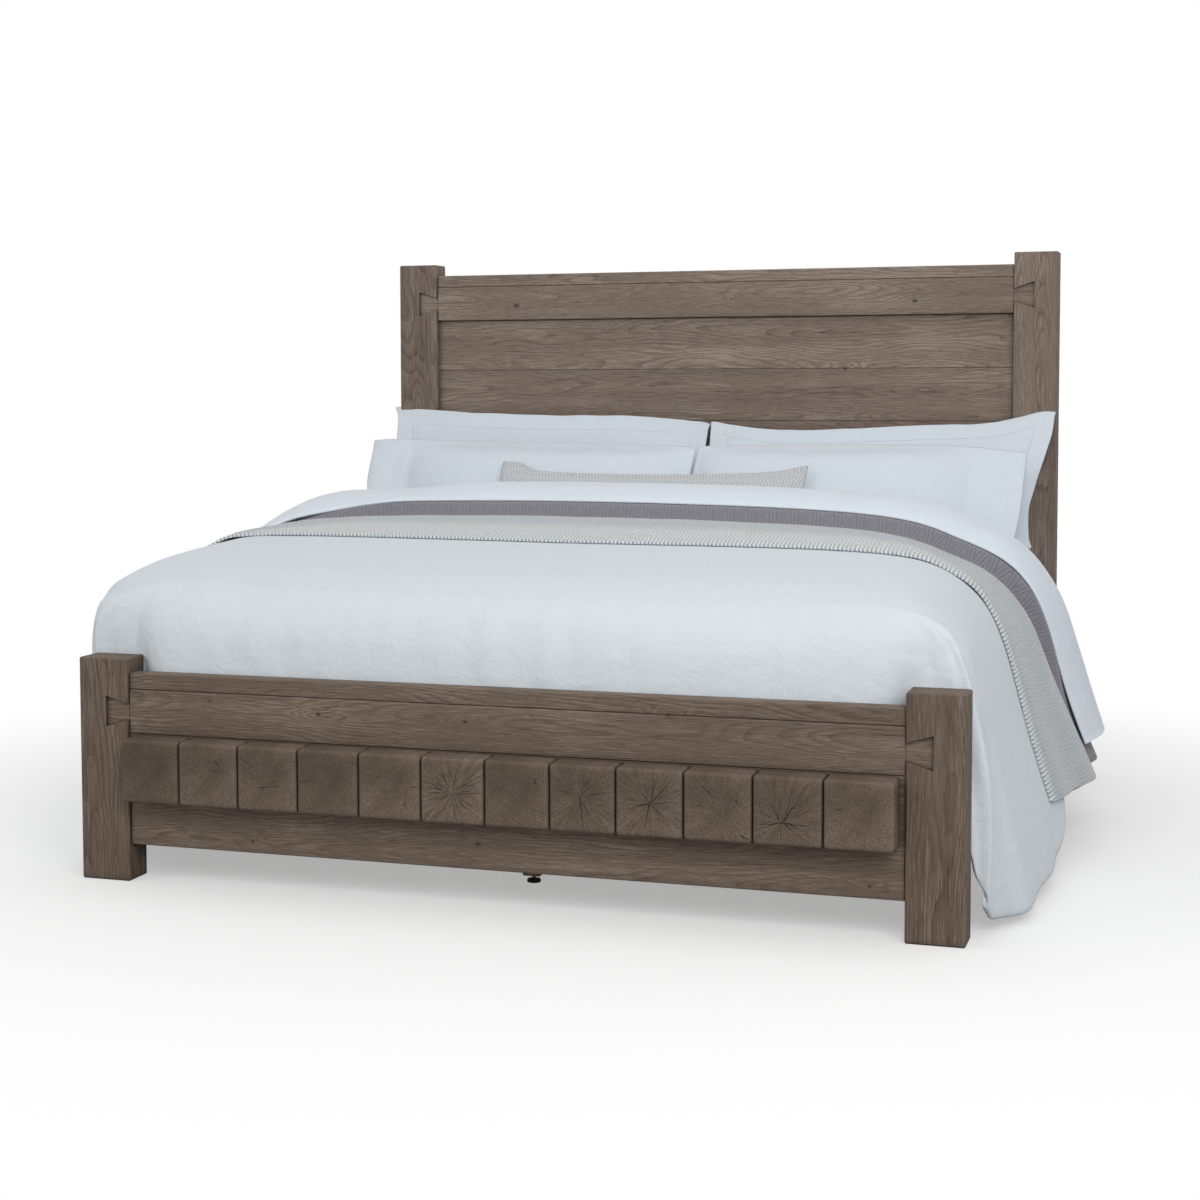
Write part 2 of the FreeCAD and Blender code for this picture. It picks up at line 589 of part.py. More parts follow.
def duvet_row(distance):
    """The duvet's row at any distance, with the folds of the side drop added near the foot."""
    for low, high in zip(DUVET_ROWS, DUVET_ROWS[1:]):
        if low[0] <= distance <= high[0]:
            t = (distance - low[0]) / (high[0] - low[0])
            sides = [[(blend(a[0], b[0], t), blend(a[1], b[1], t)) for a, b in zip(low[k], high[k])]
                     for k in (2, 3)]
            middle = blend(low[1], high[1], t)
    if distance in DROP_FOLD_ROWS:
        inward = DROP_FOLD_DEPTH if DROP_FOLD_ROWS.index(distance) % 2 == 0 else -DROP_FOLD_DEPTH
        for points in sides:
            points[3] = (points[3][0] - inward, points[3][1])
    return middle, sides[0], sides[1]


def lifted(row, height, outward):
    """A row moved off the duvet: by height on top, by outward at the hem and by both between."""
    middle, left, right = row
    shares = ((0.0, 1.0), (0.7, 0.75), (1.0, 0.3), (1.0, 0.0))
    reach = (height, height, blend(height, outward, 0.4), outward)
    sides = []
    for points in (left, right):
        sides.append([(x + across * out, z + up * height)
                      for (x, z), (across, up), out in zip(points, shares, reach)])
    return middle + height, sides[0], sides[1]


def bend(first, middle, last):
    """Points along the arc through three points, in equal steps."""
    return Part.Arc(first, middle, last).toShape().discretize(Number=BEND_STEPS + 1)


def over_line(row, y):
    """Points across the bed, hem to hem: a drop, a shoulder, the crowned top, a shoulder, a drop."""
    middle, left, right = row
    lp = [vec(-x, y, z) for x, z in left]
    rp = [vec(x, y, z) for x, z in right]
    top = vec((right[0][0] - left[0][0]) / 2, y, middle)
    return [lp[3]] + bend(lp[2], lp[1], lp[0]) + [top] + bend(rp[0], rp[1], rp[2]) + [rp[3]]


def filled_section(row, distance):
    """The whole space under one row, closed along a line between the hems."""
    points = over_line(row, FOOT_FACE + distance)
    return ring(points)


def band_section(outer, inner, distance):
    """A layer of cloth over the bed: outer line, hem, inner line, hem."""
    y = FOOT_FACE + distance
    points = over_line(outer, y) + over_line(inner, y)[::-1]
    return ring(points)


def row_distances(low, high):
    known = {row[0] for row in DUVET_ROWS} | set(DROP_FOLD_ROWS) | set(LAYER_ROWS)
    return [low] + sorted(d for d in known if low < d < high) + [high]


def lining_row(distance):
    """The duvet's underside, which follows the mattress."""
    outer = duvet_row(distance)
    top = LINING_FOOT_ROWS[-1][1]
    for low, high in zip(LINING_FOOT_ROWS, LINING_FOOT_ROWS[1:]):
        if low[0] <= distance <= high[0]:
            top = blend(low[1], high[1], (distance - low[0]) / (high[0] - low[0]))
    drop = top - LINING_FOOT_ROWS[-1][1]
    sides = []
    for points in (outer[1], outer[2]):
        line = [(x, z + drop) for x, z in DUVET_LINING]
        hem_x, hem_z = points[3]
        slope = (hem_x - DUVET_SKIRT - line[2][0]) / (line[2][1] - hem_z)
        below = hem_z - 40.0
        line.append((line[2][0] + slope * (line[2][1] - below), below))
        sides.append(line)
    return top + 1.0, sides[0], sides[1]


def duvet():
    """A filled form under the outer surface, hollowed out for the mattress, the rails and the posts."""
    outer = Part.makeLoft([filled_section(duvet_row(d), d) for d in row_distances(DUVET_FOOT, DUVET_HEAD)],
                          True, True)
    foot_rows = [distance for distance, _ in LINING_FOOT_ROWS]
    inner_rows = foot_rows + [d for d in row_distances(foot_rows[-1], LINING_HEAD) if d > foot_rows[-1]]
    inner = Part.makeLoft([filled_section(lining_row(d), d) for d in inner_rows], True, True)
    mouth = Part.Face(filled_section(lining_row(LINING_HEAD), LINING_HEAD)).extrude(vec(0, 5.0, 0))
    posts = [block(sorted((side * (POST_INNER - POST_CLEARANCE), side * 1300.0)),
                   (FOOT_FACE, FOOT_POST_BACK + POST_CLEARANCE), (0.0, FOOTBOARD_HEIGHT + POST_CLEARANCE))
             for side in SIDES.values()]
    below_tuck = block((-1300.0, 1300.0), (FOOT_FACE, FOOT_FACE + foot_rows[0]), (0.0, FOOT_TUCK_BOTTOM))
    raised_hem = below_hem(DUVET_RAISED_HEM, *DUVET_RAISED_HEM_HEIGHTS)
    return outer.cut([inner.fuse(mouth), below_tuck, raised_hem] + posts)


def below_hem(span, *heights):
    """Everything below a hem that runs through evenly spaced heights, in straight steps."""
    low = FOOT_FACE + span[0] - HEM_OVERRUN
    high = FOOT_FACE + span[1] + HEM_OVERRUN
    step = (high - low) / (len(heights) - 1)
    hem = [(low + number * step, height) for number, height in enumerate(heights)]
    return prism_yz([(low, 0.0), (high, 0.0)] + hem[::-1], (-1400.0, 1400.0))


def cloth_layer(layer, span, heights):
    sections = []
    for d in row_distances(*span):
        row = duvet_row(d)
        sections.append(band_section(lifted(row, layer[1], layer[1]), lifted(row, layer[0], layer[0]), d))
    return Part.makeLoft(sections, True, True).cut(below_hem(span, *heights))


def turndown():
    """The duvet's head end folded back on itself: a fat roll across the bed."""
    sections = []
    for distance, height in TURNDOWN_ROWS:
        row = duvet_row(distance)
        outward = TURNDOWN_INNER + TURNDOWN_SKIRT
        under = lifted(row, TURNDOWN_INNER, TURNDOWN_INNER)
        sections.append(band_section(lifted(row, height, outward), under, distance))
    span = (TURNDOWN_ROWS[0][0], TURNDOWN_ROWS[-1][0])
    return Part.makeLoft(sections, True, True).cut(below_hem(span, TURNDOWN_HEM, TURNDOWN_HEM))


# Pillows. Levels of the crown: share of the half thickness, then share of the height drawn in.
PILLOW_LEVELS = ((0.30, 0.035), (0.62, 0.12), (0.86, 0.25), (1.0, 0.44))
PILLOW_EDGE = 2.0
PILLOW_SHAPES = {
    # name: middle, width, height, thickness, flange, lean in degrees, lower edge from the foot posts
    "back_pillow_left": (-533.0, 1050.0, 440.0, 120.0, 48.0, 66.0, 1940.0),
    "back_pillow_right": (541.0, 1050.0, 440.0, 120.0, 48.0, 66.0, 1940.0),
    "front_pillow_left": (-540.0, 1060.0, 388.0, 122.0, 0.0, 58.0, 1752.0),
    "front_pillow_right": (532.0, 1050.0, 388.0, 122.0, 0.0, 58.0, 1752.0),
    "lumbar_pillow": (-100.0, 985.0, 275.0, 72.0, 0.0, 58.0, 1615.0),
}
PILLOW_REST = 698.0

# A bowed side in four straight steps: share along the side, then the draw-in as a share of half its length.
# Steps at different levels of the crown stay parallel, so that the skin between them is flat.
BOW = ((-1.0, 0.0), (-0.5, 0.022), (0.0, 0.030), (0.5, 0.022))


def pillow_outline(width, height, w):
    """Four corners joined by sides that bow towards the pillow's middle."""
    a, b = width / 2, height / 2
    lower = [(a * t, -b + a * drawn) for t, drawn in BOW]
    right = [(a - b * drawn, b * t) for t, drawn in BOW]
    points = lower + right + [(-x, -y) for x, y in lower + right]
    return points, w


def pillow(middle, width, height, thickness, flange, lean, distance):
    body_width = width - 2 * flange
    body_height = height - 2 * flange
    upper = [pillow_outline(width, height, PILLOW_EDGE)]
    if flange:
        upper.append(pillow_outline(body_width, body_height, PILLOW_EDGE + 1.0))
    for rise, share in PILLOW_LEVELS:
        inset = share * body_height
        upper.append(pillow_outline(body_width - 1.4 * inset, body_height - inset, rise * thickness / 2))
    lower = [(points, -w) for points, w in reversed(upper)]
    shape = stacked(lower + upper)
    shape.translate(vec(0, height / 2, 0))
    shape.rotate(vec(0, 0, 0), vec(1, 0, 0), lean)
    shape.translate(vec(middle, FOOT_FACE + distance, PILLOW_REST))
    return shape


def bedding():
    save("duvet", duvet())
    save("wool_blanket", cloth_layer(BLANKET_LAYER, BLANKET_SPAN, BLANKET_HEM))
    save("knit_throw", cloth_layer(THROW_LAYER, THROW_SPAN, THROW_HEM))
    save("duvet_turndown", turndown())
    for name, sizes in PILLOW_SHAPES.items():
        save(name, pillow(*sizes))


os.makedirs("parts", exist_ok=True)
headboard()
footboard()
undercarriage()
mattress_set()
bedding()
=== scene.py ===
import bpy
import math
import numpy as np
from mathutils import Matrix, Vector


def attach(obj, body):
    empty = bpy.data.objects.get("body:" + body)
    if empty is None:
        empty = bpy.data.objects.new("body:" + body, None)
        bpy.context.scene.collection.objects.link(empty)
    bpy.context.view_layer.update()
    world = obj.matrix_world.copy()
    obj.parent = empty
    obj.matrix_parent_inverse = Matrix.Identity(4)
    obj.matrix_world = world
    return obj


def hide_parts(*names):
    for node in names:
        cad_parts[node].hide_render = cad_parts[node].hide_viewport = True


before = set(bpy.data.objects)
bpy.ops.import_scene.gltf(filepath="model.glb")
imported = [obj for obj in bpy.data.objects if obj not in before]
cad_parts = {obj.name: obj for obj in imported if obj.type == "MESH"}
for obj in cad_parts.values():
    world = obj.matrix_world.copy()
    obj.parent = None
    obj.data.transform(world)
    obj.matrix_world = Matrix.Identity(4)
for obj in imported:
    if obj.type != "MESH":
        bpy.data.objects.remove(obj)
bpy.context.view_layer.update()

# The dressed poster bed. Metres, Z up, foot end towards -Y.
# Bedding shapes are worked out in millimetres, with the distance along the bed counted from the front faces of
# the foot posts, and turned into the frame's metres by place().

TURN = 2 * math.pi
FOOT_FACE = -1079.0             # front faces of the foot posts in the frame
CAMERA_AT = (1621.9, -4617.8, 1228.2)


def place(points):
    """Points (across, distance from the foot posts' faces, height) in millimetres, as frame metres."""
    points = np.asarray(points, float)
    return (points + np.array([0.0, FOOT_FACE, 0.0])) / 1000.0


# Curves

def through(points, count):
    """Evenly spaced points along a smooth line through the given ones."""
    p = np.asarray(points, float)
    p = np.vstack([2 * p[0] - p[1], p, 2 * p[-1] - p[-2]])
    fine = []
    t = np.linspace(0, 1, 13)[:-1, None]
    for a, b, c, d in zip(p, p[1:], p[2:], p[3:]):
        fine.append(0.5 * (2 * b + (c - a) * t + (2 * a - 5 * b + 4 * c - d) * t ** 2
                           + (3 * b - a - 3 * c + d) * t ** 3))
    fine = np.vstack(fine + [p[-2:-1]])
    steps = travelled(fine)
    wanted = np.linspace(0, steps[-1], count)
    return np.column_stack([np.interp(wanted, steps, fine[:, k]) for k in range(fine.shape[1])])


def eased(value):
    """0 below 0, 1 above 1, and a soft way between them."""
    value = np.clip(value, 0.0, 1.0)
    return value * value * (3 - 2 * value)


def eased_between(stations, values, at):
    """Values at any station, without overshoot between the given ones."""
    x, y = np.asarray(stations, float), np.asarray(values, float)
    flat = y.reshape(len(x), -1)
    h = np.diff(x)[:, None]
    slope = np.diff(flat, axis=0) / h
    tangent = np.zeros_like(flat)
    tangent[0], tangent[-1] = slope[0], slope[-1]
    same = slope[:-1] * slope[1:] > 0
    with np.errstate(divide="ignore", invalid="ignore"):
        harmonic = 2 * slope[:-1] * slope[1:] / (slope[:-1] + slope[1:])
    tangent[1:-1] = np.where(same, harmonic, 0.0)
    at = np.clip(np.atleast_1d(np.asarray(at, float)), x[0], x[-1])
    i = np.clip(np.searchsorted(x, at) - 1, 0, len(x) - 2)
    step = (x[i + 1] - x[i])[:, None]
    t = (at - x[i])[:, None] / step
    result = ((2 * t ** 3 - 3 * t ** 2 + 1) * flat[i] + (t ** 3 - 2 * t ** 2 + t) * step * tangent[i]
              + (3 * t ** 2 - 2 * t ** 3) * flat[i + 1] + (t ** 3 - t ** 2) * step * tangent[i + 1])
    return result.reshape((len(at),) + y.shape[1:])


def ripple(across, along, wave, seed, octaves=3):
    """Soft unevenness between -1 and 1, made of crossing sine waves with seeded directions."""
    chance = np.random.RandomState(seed)
    total, size = np.zeros(np.broadcast(across, along).shape), 1.0
    for octave in range(octaves):
        for _ in range(4):
            turn, phase = chance.uniform(0, math.pi), chance.uniform(0, TURN)
            length = wave / 1.9 ** octave * chance.uniform(0.8, 1.25)
            total = total + size * np.sin(TURN * (across * math.cos(turn) + along * math.sin(turn)) / length
                                          + phase)
        size *= 0.5
    return total / 5.0


def travelled(points):
    """How far each point lies along the line through them."""
    return np.concatenate([[0.0], np.cumsum(np.linalg.norm(np.diff(points, axis=0), axis=1))])


def ended_at(line, height):
    """A line of (across, height) points that runs down, ended where it reaches the height. Thinned out."""
    above = line[line[:, 1] > height]
    end = np.interp(-height, -line[:, 1], line[:, 0])
    return np.vstack([above[:-4:6], [[end, height]]])


# Objects and meshes

def put(name, data):
    """A new object in the scene."""
    new = bpy.data.objects.new(name, data)
    bpy.context.scene.collection.objects.link(new)
    return new


def set_up(thing, **settings):
    for key, value in settings.items():
        setattr(thing, key, value)
    return thing


def modify(piece, name, kind, **settings):
    return set_up(piece.modifiers.new(name, kind), **settings)


def mesh_piece(name, points, faces, uv=None, smooth=True):
    """A mesh of points in metres. uv gives each point's place on the flat cloth, in metres too."""
    data = bpy.data.meshes.new(name)
    data.from_pydata([tuple(p) for p in points], [], faces)
    data.validate()
    if uv is not None:
        layer = data.uv_layers.new(name="cloth")
        corner = np.array([loop.vertex_index for loop in data.loops])
        layer.data.foreach_set("uv", np.asarray(uv, float)[corner].ravel())
    data.polygons.foreach_set("use_smooth", [smooth] * len(data.polygons))
    return put(name, data)


def coordinates(piece, kind="co"):
    """The vertices' places, or with "normal" their normals."""
    flat = np.zeros(len(piece.data.vertices) * 3)
    piece.data.vertices.foreach_get(kind, flat)
    return flat.reshape(-1, 3)


def set_coordinates(piece, points):
    piece.data.vertices.foreach_set("co", np.asarray(points, float).ravel())
    piece.data.update()


def apply_modifiers(piece):
    """Keeps the shape that the modifiers give, and takes them off."""
    bpy.context.view_layer.update()
    shaped = piece.evaluated_get(bpy.context.evaluated_depsgraph_get())
    data = bpy.data.meshes.new_from_object(shaped)
    piece.modifiers.clear()
    piece.data = data


def grid_faces(rows, columns, closed_rows=False, closed_columns=False):
    """Quads of a grid whose points are numbered row by row."""
    faces = []
    for r in range(rows if closed_rows else rows - 1):
        for c in range(columns if closed_columns else columns - 1):
            r2, c2 = (r + 1) % rows, (c + 1) % columns
            faces.append((r * columns + c, r * columns + c2, r2 * columns + c2, r2 * columns + c))
    return faces


def finish_soft(piece, slot, material, *nodes):
    """Puts the material on a soft piece and lets it stand for its CAD nodes."""
    piece.data.materials.clear()
    piece.data.materials.append(material)
    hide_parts(*nodes)
    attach(piece, "frame")


# Materials

def linear(hex_colour):
    """A written sRGB colour as the linear colour that the shaders take."""
    parts = [int(hex_colour[i:i + 2], 16) / 255 for i in (1, 3, 5)]
    return [c / 12.92 if c <= 0.04045 else ((c + 0.055) / 1.055) ** 2.4 for c in parts] + [1.0]


def feed(tree, node, inputs):
    """Sets a node's inputs. Each takes a value, a socket, or a node, which gives its first output."""
    for key, value in inputs.items():
        if isinstance(value, bpy.types.Node):
            value = value.outputs[0]
        if isinstance(value, bpy.types.NodeSocket):
            tree.links.new(value, node.inputs[key])
        else:
            node.inputs[key].default_value = value


def add(tree, kind, inputs=None, stops=None, **settings):
    """Adds a shader node, named as "Kind" or "Kind.OPERATION", with its settings, inputs and colour stops."""
    kind, _, operation = kind.partition(".")
    new = tree.nodes.new("ShaderNode" + kind)
    if operation:
        new.operation = operation
    set_up(new, **settings)
    feed(tree, new, inputs or {})
    if stops:
        ramp = new.color_ramp.elements
        while len(ramp) < len(stops):
            ramp.new(0.5)
        for element, (position, colour) in zip(ramp, stops):
            element.position = position
            element.color = linear(colour)
    return new


def new_material(name, roughness, space="Object", **uniform):
    """A material with one Principled shader. Returns it, its tree, the shader and the pattern's coordinates."""
    material = bpy.data.materials.new(name)
    material.use_nodes = True
    tree = material.node_tree
    shader = tree.nodes["Principled BSDF"]
    shader.inputs["Roughness"].default_value = roughness
    for key, value in uniform.items():
        shader.inputs[key.replace("_", " ")].default_value = value
    return material, tree, shader, add(tree, "TexCoord").outputs[space]


# Limed oak: the wire brush has taken the soft wood out of the grain, so fine dark lines run along a greyed
# surface, with arches of year rings where the saw cut across them, and edges that have worn lighter. Oak's line
# spacing of about 1 mm is drawn at 1.8 mm to show.
OAK_LINE = 0.0018
OAK_PORE = 0.0022
RING_STEP = 0.013
ARCH_SPACING = 0.21
KNOTS_ALONG = ((-0.437, 0.432, 0.007), (0.412, 0.470, 0.006), (0.637, 1.447, 0.009), (-0.07, 0.432, 0.006),
               (-0.66, 1.452, 0.010), (0.06, 1.462, 0.004), (-0.72, 0.452, 0.004), (-0.61, 0.118, 0.005),
               (-0.04, 0.150, 0.007), (0.86, 0.118, 0.005), (-0.62, 1.090, 0.006), (0.42, 1.240, 0.006))


def worn_edges_and_painted_crevice_shade(tree, colour, light, dark, edge):
    """Edges rubbed to the lighter colour, which is wear, and painted shade from ambient occlusion that darkens the
    joints, gaps and undersides.
    """
    rounded = add(tree, "Bevel", {"Radius": edge}, samples=4)
    surface = add(tree, "NewGeometry")
    turn = add(tree, "VectorMath.DOT_PRODUCT", {0: rounded, 1: surface.outputs["Normal"]})
    coords = add(tree, "TexCoord").outputs["Object"]
    uneven = add(tree, "TexNoise", {"Vector": coords, "Scale": 38.0, "Detail": 3.0})
    worn = add(tree, "MapRange", {"Value": turn.outputs["Value"], "From Min": 0.995, "From Max": 0.88})
    some = add(tree, "MapRange", {"Value": uneven, "From Min": 0.38, "From Max": 0.62, "To Min": 0.12, "To Max": 0.62})
    amount = add(tree, "Math.MULTIPLY", {0: worn, 1: some})
    rubbed = add(tree, "MixRGB", {"Fac": amount, "Color1": colour, "Color2": linear(light)})
    # painted shade: ambient occlusion pulls the colour towards the dark one in joints, gaps and under overhangs
    crevice_occlusion = add(tree, "AmbientOcclusion", {"Distance": 0.028}, samples=6)
    painted_crevice_shade = add(tree, "MapRange", {"Value": crevice_occlusion.outputs["AO"], "From Min": 0.30, "From Max": 0.80,
                                      "To Min": 0.85, "To Max": 0.0})
    return add(tree, "MixRGB", {"Fac": painted_crevice_shade, "Color1": rubbed, "Color2": linear(dark)})


def limed_oak(name, grain, dark, middle, light, knots=()):
    """grain is the axis that it runs along. Each knot is (x, z, size) in metres, on boards that lie along X."""
    material, tree, shader, coords = new_material(name, 0.72)
    chance = add(tree, "ObjectInfo")
    shift = add(tree, "VectorMath.SCALE", {0: (7.3, 3.1, 5.7), "Scale": chance.outputs["Random"]})
    moved = add(tree, "VectorMath.ADD", {0: coords, 1: shift})
    drawn_out, arched, short_lines = (tuple(share if axis == grain else 1.0 for axis in "XYZ")
                                      for share in (0.034, 0.19, 3.2))
    along = add(tree, "VectorMath.MULTIPLY", {0: moved, 1: drawn_out})
    sway = add(tree, "TexNoise", {"Vector": along, "Scale": 9.0, "Detail": 2.0})
    bend = add(tree, "VectorMath.SCALE", {0: sway.outputs["Color"], "Scale": 0.05})
    wood = add(tree, "VectorMath.ADD", {0: along, 1: bend})
    swirl, eyes = None, None
    for x, z, size in knots:
        # the grain swerves round each knot, and rings close round it
        apart = add(tree, "VectorMath.SUBTRACT", {0: coords, 1: (x, 0.0, z)})
        flat = add(tree, "VectorMath.MULTIPLY", {0: apart, 1: (0.30, 0.0, 1.0)})
        far = add(tree, "VectorMath.LENGTH", {0: flat})
        near = add(tree, "MapRange", {"Value": far.outputs["Value"], "From Max": size * 4.5, "To Min": 1.0,
                                      "To Max": 0.0}, interpolation_type="SMOOTHERSTEP")
        push = add(tree, "VectorMath.SCALE", {0: (0.0, 0.0, 0.014), "Scale": near})
        wood = add(tree, "VectorMath.ADD", {0: wood, 1: push})
        raised = add(tree, "Math.MULTIPLY", {0: near, 1: 0.03})
        swirl = raised if swirl is None else add(tree, "Math.ADD", {0: raised, 1: swirl})
        round_eye = add(tree, "VectorMath.MULTIPLY", {0: apart, 1: (0.7, 0.0, 1.0)})
        eye_far = add(tree, "VectorMath.LENGTH", {0: round_eye})
        eye = add(tree, "MapRange", {"Value": eye_far.outputs["Value"], "From Min": size * 0.25, "From Max": size,
                                     "To Min": 0.9, "To Max": 0.0})
        eyes = eye if eyes is None else add(tree, "Math.MAXIMUM", {0: eye, 1: eyes})
    run = add(tree, "SeparateXYZ", {0: moved})
    cut = add(tree, "SeparateXYZ", {0: wood})
    arch = add(tree, "Math.MULTIPLY", {0: cut.outputs["X" if grain == "Z" else "Z"], 1: TURN / ARCH_SPACING})
    arch = add(tree, "Math.SINE", {0: arch})
    level = add(tree, "Math.MULTIPLY", {0: run.outputs[grain], 1: 0.05})
    level = add(tree, "Math.MULTIPLY_ADD", {0: arch, 1: 0.055, 2: level})
    gentle = add(tree, "VectorMath.MULTIPLY", {0: moved, 1: arched})
    roam = add(tree, "TexNoise", {"Vector": gentle, "Scale": 7.0, "Detail": 2.2})
    level = add(tree, "Math.MULTIPLY_ADD", {0: roam, 1: 0.26, 2: level})
    if knots:
        level = add(tree, "Math.ADD", {0: level, 1: swirl})
    year = add(tree, "Math.MULTIPLY", {0: level, 1: 1 / RING_STEP})
    year = add(tree, "Math.FRACT", {0: year})
    ring = add(tree, "MapRange", {"Value": year, "From Max": 0.5, "To Min": 1.0, "To Max": 0.0})
    patch = add(tree, "TexNoise", {"Vector": moved, "Scale": 3.2, "Detail": 2.0})
    shown = add(tree, "MapRange", {"Value": patch, "From Min": 0.38, "From Max": 0.56, "To Min": 0.35})
    ring = add(tree, "Math.MULTIPLY", {0: ring, 1: shown})
    lines = add(tree, "TexNoise", {"Vector": wood, "Scale": 1 / OAK_LINE, "Detail": 3.0, "Roughness": 0.6})
    broad = add(tree, "TexNoise", {"Vector": along, "Scale": 26.0, "Detail": 3.0})
    short = add(tree, "VectorMath.MULTIPLY", {0: wood, 1: short_lines})
    pores = add(tree, "TexNoise", {"Vector": short, "Scale": 1 / OAK_PORE, "Detail": 1.0})
    pore = add(tree, "MapRange", {"Value": pores, "From Min": 0.39, "From Max": 0.28, "To Max": 0.5})
    tone = 0.0
    for part, weight in ((lines, 0.50), (broad, 0.26), (patch, 0.24), (ring, -0.13)):
        tone = add(tree, "Math.MULTIPLY_ADD", {0: part, 1: weight, 2: tone})
    colour = add(tree, "ValToRGB", {"Fac": tone},
                 stops=[(0.29, dark), (0.44, middle), (0.49, middle), (0.605, light)])
    inked = add(tree, "MixRGB", {"Fac": pore, "Color1": colour, "Color2": linear(dark)})
    if knots:
        inked = add(tree, "MixRGB", {"Fac": eyes, "Color1": inked, "Color2": linear("#2b211b")})
    # edges worn lighter, and painted shade in #2a211b darkening the joints and gaps
    finished = worn_edges_and_painted_crevice_shade(tree, inked, light, "#2a211b", 0.004)
    relief = add(tree, "Math.SUBTRACT", {0: lines, 1: pore})
    relief = add(tree, "Math.MULTIPLY_ADD", {0: ring, 1: -0.4, 2: relief})
    bump = add(tree, "Bump", {"Height": relief, "Strength": 0.55, "Distance": 0.0012})
    feed(tree, shader, {"Base Color": finished, "Normal": bump})
    return material


# End grain: year rings round the heart, medullary rays out from it, and drying checks that open along the rays.
RAY_COUNT = 84.0
END_GRAIN_YEAR = 0.0042
BLOCK_PITCH = 0.1541
BLOCK_HEIGHT = 0.284            # of the blocks' middles over the floor


